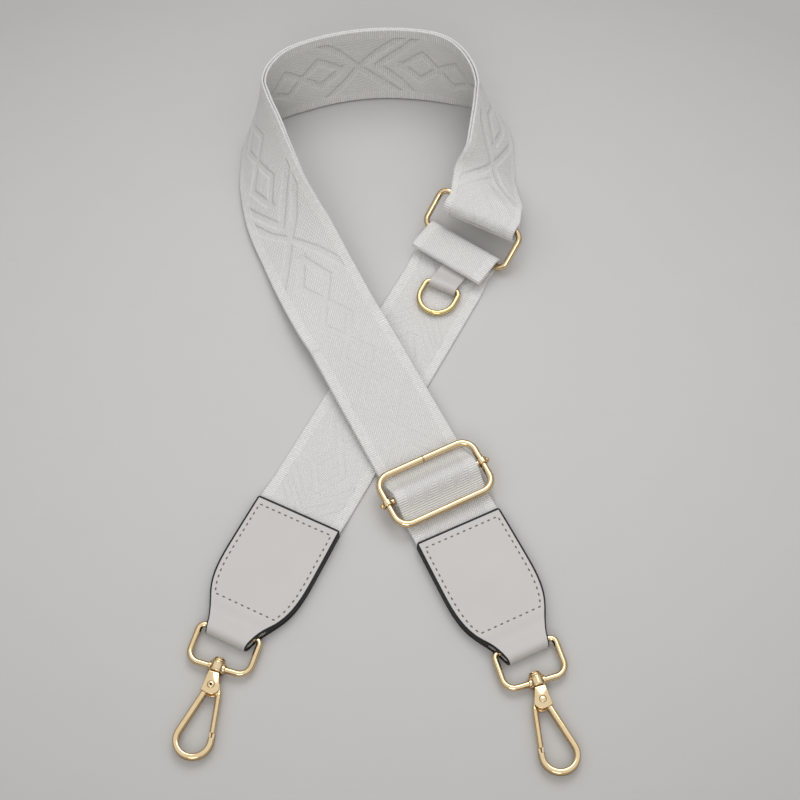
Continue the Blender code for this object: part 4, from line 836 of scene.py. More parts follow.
def short_webbing():
    level = TABLE_GAP + WEBBING_THICKNESS / 2
    settle = TAB_STACK * 3
    first = [(0.0, -WEBBING_INSERT, TAB_WEBBING_MIDDLE), (0.0, 0.0, TAB_WEBBING_MIDDLE)]
    first += [(0.0, settle * s, lerp(TAB_WEBBING_MIDDLE, level, ease(s))) for s in
              (0.1, 0.2, 0.3, 0.4, 0.5, 0.6, 0.7, 0.8, 0.9, 1.0)]
    turn_start = SHORT_STRAP_LENGTH - FLAP_LENGTH * 1.5
    first += [(0.0, lerp(settle, turn_start, s), level) for s in (0.33, 0.66, 1.0)]
    radius = RING_FOLD_RADIUS + WEBBING_THICKNESS / 2
    hem_radius = (WEBBING_THICKNESS + HEM_GAP) / 2
    flap_level = level + WEBBING_THICKNESS + KEEPER_TAIL_THICKNESS + 3 * GAP + LAYER_PITCH - RING_HEIGHT
    profile = [(-FLAP_LENGTH / 2, -radius), (0.0, -radius)]
    profile += arc((0.0, 0.0), radius, -90, 90, 24)[1:-1]
    profile += [(-FLAP_LENGTH * s, lerp(radius, flap_level, ease(s))) for s in
                (0.0, 0.125, 0.25, 0.375, 0.5, 0.625, 0.75, 0.875, 1.0)]
    profile += arc((-FLAP_LENGTH, flap_level - hem_radius), hem_radius, 90, 270, 12)[1:]
    profile.append((-FLAP_LENGTH + FLAP_UNDER, flap_level - 2 * hem_radius))
    world = [SHORT_STRAP @ Vector(p) for p in first] + [RING_BASE @ Vector((0.0, a, b)) for a, b in profile]
    wide_a = SHORT_STRAP.to_3x3() @ Vector((1.0, 0.0, 0.0))
    wide_b = RING_BASE.to_3x3() @ Vector((1.0, 0.0, 0.0))
    wide = [wide_a] * len(first) + [wide_b] * len(profile)
    both = np.array([(*p, *w) for p, w in zip(world, wide)])
    runs = run_lengths(both[:, :3])
    at = np.arange(0.0, runs[-1], 0.6 * MM)
    at = np.append(at, runs[-1])
    rows = np.stack([np.interp(at, runs, both[:, k]) for k in range(6)], axis=1)
    middles = softened(rows[:, :3], 3)
    v = at - WEBBING_INSERT
    flap_from = (SHORT_STRAP_LENGTH + 2 * MM) / MM

    def weave(u, v_mm):
        much = np.clip((flap_from - v_mm) / 2.0, 0, 1) * 0.6
        return u, along_pattern(v_mm, SHORT_PATTERN), much

    def speckled(u, v_mm, sides):
        return np.where(sides >= 0, -np.clip((v_mm - flap_from) / 2.0, 0, 1), 0.0)
    made = webbing_piece("short_webbing_cloth", middles, rows[:, 3:], v, weave, "strap",
                         ["short_webbing"], ribbed=speckled)
    return made, at[-1]


def slider_cloths():
    """The end sewn round the slider's bar, and the webbing that bulges over it."""
    half = WEBBING_THICKNESS / 2
    axis = SLIDER_AXIS_HEIGHT
    sewn_radius = SLIDER_BAR_RADIUS + GAP + half
    low = axis - sewn_radius
    profile = [(SEWN_STUB, low), (SEWN_STUB / 2, low), (0.0, low)]
    profile += arc((0.0, axis), sewn_radius, 270, -20, 40)[1:]
    middles, across, run = side_profile_rows(profile, SLIDER, 0.5 * MM)

    def plain(u, v):
        return u, v, np.zeros_like(u)
    sewn = webbing_piece("sewn_end_cloth", middles, across, run, plain, "slider", ["sewn_end_loop"],
                         columns=40)
    bulge_radius = sewn_radius + WEBBING_THICKNESS + GAP
    foot = GAP + half
    foot_end = SLIDER_INNER_HEIGHT / 2 + SLIDER_WIRE_RADIUS
    foot_start = foot_end - BUMP_FOOT
    leave = math.radians(BULGE_LEAVE)
    leave_along, leave_up = bulge_radius * math.cos(leave), axis + bulge_radius * math.sin(leave)
    slope = (foot_start - leave_along) / math.tan(leave)
    side = [(foot_end, foot), (foot_start, foot)]
    side += [(lerp(foot_start, leave_along, s), hermite(foot, leave_up, slope / 2, slope, s))
             for s in (0.1, 0.2, 0.3, 0.4, 0.5, 0.6, 0.7, 0.8, 0.9)]
    over = arc((0.0, axis), bulge_radius, BULGE_LEAVE, 180 - BULGE_LEAVE, 24)
    bulge = side + over + [(-along, up) for along, up in reversed(side)]
    middles, across, run_b = side_profile_rows(bulge[::-1], SLIDER, 0.5 * MM)
    middles = softened(middles, 4)

    def teeth(u, v, sides):
        """Ribbed zone under a zigzag, on the half nearer the tab; the webbing's material paints shade between
        these ribs.
        """
        zigzag = 6.5 + 8.5 * np.abs(np.mod((u - 0.45 * v) / 7.2, 1.0) - 0.5) * 2
        return np.where(sides >= 0, np.clip((zigzag - v) / 0.5 + 0.5, 0, 1), 0.0)
    threaded = webbing_piece("threaded_cloth", middles, across, run_b, plain, "slider",
                             ["threaded_webbing"], ribbed=teeth)
    return sewn, run[-1], threaded, run_b[-1]


# End tabs

def tab_half_width(depth):
    table, share = TAB_BODY_SHARES, max(0.0, depth / TAB_OPEN_DEPTH)
    if depth > TAB_OPEN_DEPTH:
        table, share = TAB_NECK_SHARES, min(1.0, (depth - TAB_OPEN_DEPTH) / TAB_NECK_LENGTH)
    width = table[-1][1]
    for (d0, w0), (d1, w1) in zip(table, table[1:]):
        if d0 <= share <= d1:
            width = lerp(w0, w1, (share - d0) / (d1 - d0))
            break
    cut = max(0.0, TAB_CORNER - depth)
    rounding = TAB_CORNER - math.sqrt(max(0.0, TAB_CORNER ** 2 - cut ** 2))
    return width * TAB_WIDTH / 2 - rounding


def smooth_half_width(depths):
    """Half widths over depths, with the outline's corners eased but the tab's top corners kept."""
    raw = np.array([tab_half_width(d) for d in depths])
    eased = softened(raw[:, None], 30)[:, 0]
    keep = np.clip((np.asarray(depths) - 2 * TAB_CORNER) / (3 * MM), 0, 1)
    return raw * (1 - keep) + eased * keep


def end_tab(side, matrix):
    top = TAB_STACK - LEATHER_THICKNESS / 2
    fold_top = BAIL_HEIGHT + TAB_FOLD_RADIUS
    low = LEATHER_THICKNESS / 2
    corner = [TAB_CORNER * s for s in (0.0, 0.03, 0.1, 0.22, 0.38, 0.54, 0.68, 0.78, 1.0)]
    depths = corner + list(np.linspace(TAB_CORNER, TAB_FOLD_DEPTH, 96))[1:]

    def level(depth):
        return lerp(top, fold_top, ease((depth - STITCH_END) / (TAB_OPEN_DEPTH - STITCH_END)))
    profile = [(-d, level(d)) for d in depths]
    profile += arc((-TAB_FOLD_DEPTH, BAIL_HEIGHT), TAB_FOLD_RADIUS, 90, 270, 22)[1:-1]
    profile += [(-d, low) for d in reversed(depths)]
    halves = smooth_half_width([-a for a, _ in profile])
    middles = placed(matrix, [(0.0, a, b) for a, b in profile])
    across = width_rows(matrix, len(middles), -1.0)
    result = strip(middles, across, halves, LEATHER_THICKNESS, 42, 22, TAB_EDGE_RADIUS, border=TAB_BORDER)
    mesh = strip_mesh(side + "_tab_leather", result, painted_rows=7)
    add(side + "_tab_leather", mesh, [LEATHER, EDGE], "strap", [side + "_end_tab"])
    painted_wall(side, matrix, level, low)
    tab_stitches(side, matrix, level)


def tube_faces(start, rings, around):
    """Faces of a closed tube: its sides, then its two ends."""
    faces = []
    for i in range(rings - 1):
        for k in range(around):
            a, b = start + i * around + k, start + i * around + (k + 1) % around
            faces.append((a, b, b + around, a + around))
    ends = (start, start + (rings - 1) * around)
    return faces + [tuple(ends[0] + k for k in reversed(range(around))),
                    tuple(ends[1] + k for k in range(around))]


def painted_wall(side, matrix, level, low):
    """Edge paint that closes the gap between the tab's two leathers beside the webbing."""
    points, faces = [], []
    for sign in (-1, 1):
        start = len(points)
        depths = list(np.linspace(1.4 * MM, STITCH_END + 5.5 * MM, 60))
        halves = smooth_half_width(depths)
        for depth, half in zip(depths, halves):
            outer, inner = half - 0.10 * MM, half - 0.26 * MM
            high = level(depth) - LEATHER_THICKNESS / 2 + 0.12 * MM
            base = low + LEATHER_THICKNESS / 2 - 0.12 * MM
            for u, z in ((outer, high), (outer, base), (inner, base), (inner, high)):
                points.append(tuple(matrix @ Vector((sign * u, -depth, z))))
        faces += [face[::sign] for face in tube_faces(start, len(depths), 4)]
    mesh = mesh_of(side + "_tab_painted_edge", points, faces, smooth=False)
    add(side + "_tab_painted_edge", mesh, [EDGE], "strap")


def stitch_line():
    """Closed line of a tab's seam, as (across, depth)."""
    depths = np.linspace(STITCH_TOP, STITCH_END, 60)
    grid = np.linspace(0.0, TAB_FOLD_DEPTH, 300)
    halves = smooth_half_width(grid)
    right = [(float(np.interp(d, grid, halves)) - STITCH_INSET, d) for d in depths]
    return right + [(-x, d) for x, d in reversed(right)] + [right[0]]


def stitch_capsule(points, faces, centre, along, up, length, radius):
    """One stitch: a fat bead of thread, its ends sinking into the leather."""
    across = along.cross(up).normalized()
    start = len(points)
    rings, around = 7, 8
    for i in range(rings):
        t = -1 + 2 * i / (rings - 1)
        size = radius * math.sqrt(max(0.0, 1 - abs(t) ** 3.2)) + radius * 0.05
        sink = -0.28 * MM * t * t
        for k in range(around):
            angle = 2 * math.pi * k / around
            point = centre + along * (t * length / 2) + up * sink
            points.append(tuple(point + across * size * math.cos(angle) + up * size * 0.8 * math.sin(angle)))
    faces += tube_faces(start, rings, around)


def tab_stitches(side, matrix, level):
    path, run = even_path(stitch_line(), 0.2 * MM)
    count = int(round(run[-1] / STITCH_PITCH))
    points, faces = [], []

    def on_line(distance):
        return np.array([np.interp(distance, run, path[:, k]) for k in (0, 1)])
    for i in range(count):
        at = run[-1] * (i + 0.5) / count
        here = on_line(at)
        step = on_line(min(run[-1], at + 0.5 * MM)) - on_line(max(0.0, at - 0.5 * MM))
        along = (matrix.to_3x3() @ Vector((step[0], -step[1], 0.0))).normalized()
        up = matrix.to_3x3() @ Vector((0.0, 0.0, 1.0))
        centre = matrix @ Vector((here[0], -here[1], level(here[1]) + LEATHER_THICKNESS / 2 + 0.02 * MM))
        stitch_capsule(points, faces, centre, along, up, STITCH_LENGTH, STITCH_RADIUS)
    mesh = mesh_of(side + "_tab_stitches", points, faces)
    add(side + "_tab_stitches", mesh, [THREAD], "strap", [side + "_tab_stitching"])


# Fittings

SHARP_ANGLE = 38


def tidy_path(outline):
    """Outline without repeated points, its long sides given some more."""
    path = []
    count = len(outline)
    for i in range(count):
        a, b = Vector(outline[i]), Vector(outline[(i + 1) % count])
        if (b - a).length < 1e-6:
            continue
        pieces = max(1, int((b - a).length / (1.5 * MM)))
        for k in range(pieces):
            path.append(tuple(a.lerp(b, k / pieces)))
    return path


def circle(radius, steps):
    return [(radius * math.cos(2 * math.pi * k / steps), radius * math.sin(2 * math.pi * k / steps))
            for k in range(steps)]


class Shape:
    """Collects closed pieces of metal in one mesh, in the frame of a matrix."""

    def __init__(self, matrix):
        self.matrix = matrix
        self.points, self.faces = [], []

    def add(self, points, faces, matrix=None):
        start = len(self.points)
        place = self.matrix if matrix is None else self.matrix @ matrix
        self.points += [tuple(place @ Vector(p)) for p in points]
        self.faces += [tuple(start + i for i in face) for face in faces]

    def wire(self, path, radius, matrix=None, around=24, section=None):
        """Bar along an open or closed path; section gives its outline instead of a round one."""
        points = [Vector((*p, 0.0)) if len(p) == 2 else Vector(p) for p in path]
        closed = (points[0] - points[-1]).length < 1e-7
        if closed:
            points = points[:-1]
        count = len(points)
        outline = section or circle(radius, around)
        around = len(outline)
        up = Vector((0.0, 0.0, 1.0))
        vertices, faces = [], []
        for i, point in enumerate(points):
            before = points[i - 1] if closed or i > 0 else points[i]
            after = points[(i + 1) % count] if closed or i < count - 1 else points[i]
            along = (after - before).normalized()
            side = along.cross(up).normalized()
            other = side.cross(along)
            vertices += [tuple(point + side * x + other * y) for x, y in outline]
        for i in range(count if closed else count - 1):
            a0, b0 = i * around, ((i + 1) % count) * around
            faces += [(a0 + k, b0 + k, b0 + (k + 1) % around, a0 + (k + 1) % around) for k in range(around)]
        if not closed:
            faces.append(tuple(range(around)))
            faces.append(tuple((count - 1) * around + k for k in reversed(range(around))))
        self.add(vertices, faces, matrix)

    def turned(self, profile, matrix=None, steps=40):
        """Piece turned about Z from (radius, height), from the top down; its ends are on the axis."""
        vertices = [(0.0, 0.0, profile[0][1])]
        faces = []
        rings = profile[1:-1]
        for radius, height in rings:
            vertices += [(x, y, height) for x, y in circle(radius, steps)]
        vertices.append((0.0, 0.0, profile[-1][1]))
        last = len(vertices) - 1
        for k in range(steps):
            k2 = (k + 1) % steps
            faces.append((0, 1 + k, 1 + k2))
            for i in range(len(rings) - 1):
                a, b = 1 + i * steps, 1 + (i + 1) * steps
                faces.append((a + k, b + k, b + k2, a + k2))
            a = 1 + (len(rings) - 1) * steps
            faces.append((a + k, last, a + k2))
        self.add(vertices, faces, matrix)

    def slab(self, outline, low, high, bevel, matrix=None, segments=3):
        """Flat outline extruded from low to high, its rims rounded."""
        work = bmesh.new()
        base = [work.verts.new((x, y, low)) for x, y in outline]
        top = [work.verts.new((x, y, high)) for x, y in outline]
        count = len(outline)
        faces = [work.faces.new(top), work.faces.new(base[::-1])]
        for i in range(count):
            k = (i + 1) % count
            work.faces.new((base[i], base[k], top[k], top[i]))
        bmesh.ops.recalc_face_normals(work, faces=work.faces)
        rims = list(faces[0].edges) + list(faces[1].edges)
        bmesh.ops.bevel(work, geom=rims, offset=bevel, segments=segments, profile=0.5, affect="EDGES",
                        clamp_overlap=True)
        work.verts.index_update()
        self.add([tuple(v.co) for v in work.verts], [[v.index for v in f.verts] for f in work.faces], matrix)
        work.free()

    def done(self, name, body, replaced, material=GOLD):
        mesh = mesh_of(name, self.points, self.faces)
        work = bmesh.new()
        work.from_mesh(mesh)
        bmesh.ops.recalc_face_normals(work, faces=work.faces)
        work.to_mesh(mesh)
        work.free()
        mesh.shade_smooth()
        mesh.set_sharp_from_angle(angle=math.radians(SHARP_ANGLE))
        add(name, mesh, [material], body, [replaced])


def rounded_profile(radius, low, high, rim, steps=4):
    """Profile of a turned disc or barrel with rounded rims, from the top down."""
    profile = [(0.0, high)]
    for i in range(steps + 1):
        a = math.pi / 2 * i / steps
        profile.append((radius - rim + rim * math.sin(a), high - rim + rim * math.cos(a)))
    for i in range(steps + 1):
        a = math.pi / 2 * i / steps
        profile.append((radius - rim + rim * math.cos(a), low + rim - rim * math.sin(a)))
    return profile + [(0.0, low)]


def dome_profile(radius, low, height, steps=8):
    """Profile of a dome on a flat base, from the top down."""
    profile = [(0.0, low + height)]
    for i in range(1, steps + 1):
        a = math.pi / 2 * i / steps
        profile.append((radius * math.sin(a), low + height * math.cos(a)))
    return profile + [(0.0, low)]


def bar_section(width, height, round_by, steps=6):
    """Outline of a bar with rounded corners, as (across, up)."""
    return rounded_rectangle(width, height, round_by, round_by, steps)


def closed(path):
    return list(path) + [path[0]]


# Swivel clasp, in the frame of the hook: along is -Y, and -X is the gate's side
BARREL_RADIUS, BARREL_HEIGHT = 2.65 * MM, 4.2 * MM
BARREL_RIM_RADIUS, BARREL_RIM_WIDTH = 1.9 * MM, 0.8 * MM
STUD_RADIUS, STUD_DISC_RADIUS, STUD_DISC_HEIGHT = 1.1 * MM, 2.15 * MM, 0.8 * MM
STUD_DOME_RADIUS, STUD_DOME_HEIGHT, STUD_GRIP = 1.75 * MM, 1.2 * MM, 2.0 * MM
HOOK_LENGTH, HOOK_BAR_WIDTH, HOOK_BAR_THICKNESS = 38.1 * MM, 2.5 * MM, 3.0 * MM
HOOK_BOW_RADIUS, HOOK_BOW_SHIFT = 6.85 * MM, 1.6 * MM
HOOK_HEAD_THICKNESS, HOOK_HEAD_TOP_WIDTH = 4.4 * MM, 4.6 * MM
HOOK_LOBE_RADIUS, HOOK_LOBE_SHIFT = 3.3 * MM, 0.5 * MM
HOOK_PIVOT_DEPTH, HOOK_PIVOT_SHIFT = 7.8 * MM, 0.6 * MM
HOOK_SHOULDER_DEPTH, HOOK_SHOULDER_REACH = 10.9 * MM, 1.1 * MM
GATE_RADIUS, GATE_ROOT_DEPTH, GATE_ROOT_SHIFT = 1.15 * MM, 9.0 * MM, 4.4 * MM
GATE_TIP_DEPTH, GATE_LAP, GATE_SLOT_WIDTH, GATE_PLATE = 26.6 * MM, 1.9 * MM, 2.7 * MM, 1.1 * MM
GATE_EYE_RADIUS, GATE_ARM_WIDTH, GATE_SLOT_TOP = 1.9 * MM, 2.2 * MM, 5.3 * MM
GATE_RIVET_RADIUS, GATE_RIVET_HEAD_RADIUS = 0.75 * MM, 1.5 * MM
GATE_RIVET_HOLE_RADIUS = 0.45 * MM
HEAD_TOP_DEPTH = BARREL_HEIGHT / 2 + GAP
HOOK_PIVOT = Vector((-HOOK_PIVOT_SHIFT, -HOOK_PIVOT_DEPTH))
BOW_CENTRE = Vector((-HOOK_BOW_SHIFT, -(HOOK_LENGTH - HOOK_BOW_RADIUS - HOOK_BAR_WIDTH / 2)))
HOOK_SHOULDER = Vector((HOOK_SHOULDER_REACH, -HOOK_SHOULDER_DEPTH))
GATE_ROOT = Vector((-GATE_ROOT_SHIFT, -GATE_ROOT_DEPTH))


def tangent_angle(point, side):
    away = point - BOW_CENTRE
    return math.atan2(away.y, away.x) - side * math.acos(HOOK_BOW_RADIUS / away.length)


def on_bow(angle):
    return BOW_CENTRE + HOOK_BOW_RADIUS * Vector((math.cos(angle), math.sin(angle)))


GATE_TOUCH = on_bow(tangent_angle(GATE_ROOT, -1))
GATE_LINE = (GATE_TOUCH - GATE_ROOT).normalized()
GATE_TIP = GATE_ROOT + GATE_LINE * ((GATE_TIP_DEPTH - GATE_ROOT_DEPTH) / -GATE_LINE.y)
GATE_SIDE = Vector((-GATE_LINE.y, GATE_LINE.x))


def bail_piece(side, hinge):
    shape = Shape(hinge)
    width = BAIL_INNER_WIDTH + 2 * BAIL_WIRE_RADIUS
    loop = rounded_rectangle(width, BAIL_DEPTH, BAIL_LOW_CORNER, BAIL_TOP_CORNER)
    shape.wire(closed(tidy_path([(x, y - BAIL_DEPTH / 2) for x, y in loop])), BAIL_WIRE_RADIUS)
    across = shift(y=-BAIL_DEPTH) @ turn("X", 90)
    half = BARREL_HEIGHT / 2
    barrel = [(0.0, half), (1.3 * MM, half), (2.7 * MM, half), (3.05 * MM, half - 0.12 * MM),
              (3.2 * MM, half - 0.35 * MM), (3.2 * MM, half - 0.75 * MM), (3.0 * MM, half - 0.9 * MM),
              (3.0 * MM, -half + 0.9 * MM), (3.2 * MM, -half + 0.75 * MM), (3.2 * MM, -half + 0.35 * MM),
              (3.05 * MM, -half + 0.12 * MM), (2.7 * MM, -half), (1.3 * MM, -half), (0.0, -half)]
    shape.turned(barrel, across, 48)
    reach = BARREL_RADIUS + BARREL_RIM_WIDTH
    for sign in (-1, 1):
        rim = shift(y=-BAIL_DEPTH) @ turn("Y", 90 * sign)
        shape.turned(rounded_profile(BARREL_RIM_RADIUS, BARREL_RADIUS - 1.4 * MM, reach, 0.3 * MM), rim, 36)
    shape.done(side + "_bail_wire", side + "_bail", side + "_bail")


def stud_piece(side, swivel):
    shape = Shape(swivel @ turn("X", -90))
    seat = BARREL_HEIGHT / 2 + SEAT_GAP
    disc = seat + STUD_DISC_HEIGHT
    foot = -(HEAD_TOP_DEPTH + STUD_GRIP - SEAT_GAP)
    shape.turned(rounded_profile(STUD_DISC_RADIUS * 1.2, seat, disc, 0.22 * MM))
    shape.turned(rounded_profile(STUD_DOME_RADIUS * 0.80, disc - 0.1 * MM, disc + 0.35 * MM, 0.05 * MM))
    top = disc + STUD_DOME_HEIGHT
    cap = [(0.0, top), (0.8 * MM, top - 0.03 * MM), (1.5 * MM, top - 0.14 * MM), (2.05 * MM, top - 0.34 * MM),
           (2.3 * MM, top - 0.62 * MM), (2.2 * MM, disc + 0.36 * MM), (1.9 * MM, disc + 0.28 * MM),
           (0.0, disc + 0.28 * MM)]
    shape.turned(cap)
    shape.turned([(0.0, seat + 0.1 * MM), (STUD_RADIUS, seat + 0.1 * MM), (STUD_RADIUS, foot), (0.0, foot)])
    shape.done(side + "_stud_turned", side + "_hook", side + "_swivel_stud")


def hook_piece(side, swivel):
    shape = Shape(swivel)
    start, end = tangent_angle(HOOK_SHOULDER, 1), tangent_angle(GATE_ROOT, -1) - 2 * math.pi
    steps = 60
    path = [Vector((HOOK_SHOULDER.x - 0.2 * MM, -(HEAD_TOP_DEPTH + HOOK_LOBE_RADIUS))), HOOK_SHOULDER.copy()]
    path += [on_bow(lerp(start, end, step / steps)) for step in range(steps + 1)]
    nose = GATE_TIP + GATE_LINE * (GATE_LAP / 2 + 0.15 * MM)
    path.append(nose.copy())
    path = softened(np.array([tuple(p) for p in even_path([tuple(p) for p in path], 0.6 * MM)[0]]), 2)
    section = bar_section(HOOK_BAR_WIDTH, HOOK_BAR_THICKNESS, HOOK_BAR_WIDTH * 0.36)
    shape.wire([tuple(p) for p in path], 0.0, section=section)
    outer = GATE_SIDE * -1
    lap_from = nose + GATE_LINE * 0.4 * MM
    lap_to = GATE_TIP - GATE_LINE * (GATE_LAP / 2 - GAP)
    across = HOOK_BAR_WIDTH / 4 + GAP / 4
    lap = [tuple(lap_from + outer * across), tuple(lap_to + outer * across)]
    shape.wire(lap, 0.0, section=bar_section(HOOK_BAR_WIDTH / 2 - GAP / 2, HOOK_BAR_THICKNESS * 0.86,
                                             0.35 * MM))
    half_top = HOOK_HEAD_TOP_WIDTH / 2
    right = HOOK_SHOULDER.x + HOOK_BAR_WIDTH / 2 + 0.2 * MM
    lobe_centre = HOOK_PIVOT - Vector((HOOK_LOBE_SHIFT, HOOK_LOBE_SHIFT))
    lobe = arc(lobe_centre, HOOK_LOBE_RADIUS, 180, 285, 18)
    top = -HEAD_TOP_DEPTH
    corner = 0.5 * MM
    head = arc((half_top - corner, top - corner), corner, 0, 90, 4)
    head += arc((-half_top + corner, top - corner), corner, 90, 180, 4)
    head += lobe + [(right, -HOOK_SHOULDER_DEPTH)]
    half = HOOK_HEAD_THICKNESS / 2
    slot = GATE_SLOT_WIDTH / 2
    shape.slab(head, slot, half, 0.28 * MM)
    shape.slab(head, -half, -slot, 0.28 * MM)
    cut = -GATE_SLOT_TOP
    share = (cut - top) / (lobe[0][1] - top)
    left_at_cut = lerp(-half_top, lobe[0][0], share)
    share = (cut - top) / (-HOOK_SHOULDER_DEPTH - top)
    right_at_cut = lerp(half_top, right, share)
    block = [(half_top - 0.3 * MM, top - 0.02 * MM), (-half_top + 0.3 * MM, top - 0.02 * MM),
             (left_at_cut + 0.1 * MM, cut), (right_at_cut - 0.1 * MM, cut)]
    shape.slab(block, -slot - 0.4 * MM, slot + 0.4 * MM, 0.02 * MM, segments=1)
    spine_in = HOOK_PIVOT.x + GATE_EYE_RADIUS + GAP
    spine = [(right_at_cut - 0.1 * MM, cut + 0.2 * MM), (spine_in, cut + 0.2 * MM),
             (spine_in, -HOOK_SHOULDER_DEPTH + 0.3 * MM), (right - 0.1 * MM, -HOOK_SHOULDER_DEPTH + 0.3 * MM)]
    if spine[0][0] > spine_in:
        shape.slab(spine, -slot - 0.4 * MM, slot + 0.4 * MM, 0.02 * MM, segments=1)
    shape.done(side + "_hook_cast", side + "_hook", side + "_hook")


def rivet_piece(side, pivot):
    rivet = Shape(pivot)
    face = HOOK_HEAD_THICKNESS / 2
    r = GATE_RIVET_HEAD_RADIUS
    rivet.turned([(0.0, face + 0.50 * MM), (r * 0.45, face + 0.46 * MM), (r * 0.8, face + 0.32 * MM),
                  (r * 0.97, face + 0.14 * MM), (r, face + 0.02 * MM), (r * 0.96, face - 0.05 * MM),
                  (0.0, face - 0.05 * MM)])
    rivet.turned([(0.0, face), (GATE_RIVET_RADIUS, face), (GATE_RIVET_RADIUS, -face), (0.0, -face)], None, 24)
    h = GATE_RIVET_HOLE_RADIUS
    rivet.turned([(0.0, -face + 0.5 * MM), (h, -face + 0.5 * MM), (h, -face - 0.28 * MM),
                  (h * 1.25, -face - 0.42 * MM), (r * 0.62, -face - 0.45 * MM), (r * 0.88, -face - 0.28 * MM),
                  (r, -face - 0.02 * MM), (r * 0.96, -face + 0.05 * MM),
                  (GATE_RIVET_RADIUS, -face + 0.06 * MM), (GATE_RIVET_RADIUS, -face + 0.6 * MM),
                  (0.0, -face + 0.6 * MM)])
    rivet.done(side + "_rivet_turned", side + "_hook", side + "_gate_rivet")


def gate_piece(side, pivot):
    shape = Shape(pivot)
    root, tip = GATE_ROOT - HOOK_PIVOT, GATE_TIP - HOOK_PIVOT
    full_to = tip - GATE_LINE * (GATE_LAP / 2)
    radius = GATE_RADIUS
    total = (full_to - root).length
    stations = [(0.0, 0.72), (0.12, 0.90), (0.35, 1.0), (1.5, 1.0), (1.6, 0.93), (1.8, 0.93), (1.9, 1.03),
                (2.3, 1.03), (2.5, 1.0)]
    stations += [(s, 1.0) for s in np.linspace(3.0, total / MM - 0.25, 12)]
    stations += [(total / MM - 0.08, 0.97), (total / MM, 0.88)]
    around = 28
    side_axis = Vector((GATE_SIDE.x, GATE_SIDE.y, 0.0))
    vertices = []
    for at, size in stations:
        centre = Vector((*(root + GATE_LINE * at * MM), 0.0))
        vertices += [tuple(centre + (side_axis * x + Vector((0, 0, 1)) * y) * radius * size)
                     for x, y in circle(1.0, around)]
    shape.add(vertices, tube_faces(0, len(stations), around))
    lap_mid = GATE_SIDE * (radius / 2 + GAP / 4)
    lap = [tuple(full_to - GATE_LINE * 0.4 * MM + lap_mid),
           tuple(tip + GATE_LINE * (GATE_LAP / 2 - GAP / 2) + lap_mid)]
    shape.wire(lap, 0.0, section=bar_section(radius - GAP / 2, radius * 1.55, 0.3 * MM))
    low = -(GATE_SLOT_WIDTH - GATE_PLATE) / 2 + SEAT_GAP - GATE_PLATE / 2
    eye = arc((0.0, 0.0), GATE_EYE_RADIUS, 0, 360, 36)[:-1]
    shape.slab(eye, low, low + GATE_PLATE, 0.15 * MM)
    anchor = root + GATE_LINE * GATE_RADIUS
    normal = Vector((-anchor.y, anchor.x)).normalized() * GATE_ARM_WIDTH / 2
    arm = [tuple(normal), tuple(anchor + normal), tuple(anchor - normal), tuple(-normal)]
    shape.slab(arm, low + 0.01 * MM, low + GATE_PLATE - 0.01 * MM, 0.15 * MM)
    shape.done(side + "_gate_rod", side + "_gate", side + "_gate")


def clasp(side, tab, yaw, flip):
    hinge = tab @ shift(y=-BAIL_PLACE, z=BAIL_HEIGHT) @ turn("Z", yaw)
    swivel = hinge @ shift(y=-BAIL_DEPTH) @ turn("Y", flip)
    bail_piece(side, hinge)
    stud_piece(side, swivel)
    hook_piece(side, swivel)
    pivot = swivel @ shift(*HOOK_PIVOT)
    rivet_piece(side, pivot)
    gate_piece(side, pivot)
    restyled(side + "_gate_spring", STEEL)


def restyled(node, material):
    """A CAD node that keeps its shape and gets a finish of its own."""
    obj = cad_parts[node]
    for slot in obj.material_slots:
        slot.material = material
    if not obj.material_slots:
        obj.data.materials.append(material)


def slider_metal():
    width = SLIDER_INNER_WIDTH + 2 * SLIDER_WIRE_RADIUS
    height = SLIDER_INNER_HEIGHT + 2 * SLIDER_WIRE_RADIUS
    outline = tidy_path(rounded_rectangle(width, height, SLIDER_CORNER, SLIDER_CORNER))
    start = max(range(len(outline)), key=lambda i: outline[i][1] - abs(outline[i][0]))
    outline = outline[start:] + outline[:start]
    frame_shape = Shape(SLIDER @ shift(z=SLIDER_AXIS_HEIGHT))
    seam = 0.09 * MM
    y = height / 2
    path = [p for p in outline if not (abs(p[0]) < 0.6 * MM and p[1] > 0)]
    if path[0][0] > 0:
        path.reverse()
    frame_shape.wire([(-seam, y)] + path + [(seam, y)], SLIDER_WIRE_RADIUS)
    frame_shape.wire([(-0.5 * MM, y), (0.5 * MM, y)], SLIDER_WIRE_RADIUS * 0.93)
    frame_shape.done("slider_frame_wire", "slider_frame", "slider_frame")

    bar = Shape(SLIDER @ shift(z=SLIDER_AXIS_HEIGHT))
    half_width = SLIDER_INNER_WIDTH / 2 + SLIDER_WIRE_RADIUS
    outer = SLIDER_WIRE_RADIUS + SEAT_GAP + COLLAR_WALL
    bore = SLIDER_WIRE_RADIUS + SEAT_GAP
    bar.wire([(-half_width + bore + 0.1 * MM, 0.0), (half_width - bore - 0.1 * MM, 0.0)], SLIDER_BAR_RADIUS)
    for sign in (-1, 1):
        tube = tube_ring(outer, bore, COLLAR_LENGTH, 0.22 * MM)
        bar.add(*tube, shift(sign * half_width) @ turn("X", 90))
        nub = sign * (half_width + outer)
        bar.turned(dome_profile(NUB_RADIUS, 0.0, NUB_RADIUS * 1.02),
                   shift(nub - sign * 0.15 * MM) @ turn("Y", 90 * sign), 32)
        bar.turned(rounded_profile(NUB_RADIUS * 0.72, -0.5 * MM, 0.1 * MM, 0.05 * MM),
                   shift(nub - sign * 0.1 * MM) @ turn("Y", 90 * sign), 28)
    bar.done("slider_bar_metal", "slider", "slider_bar")


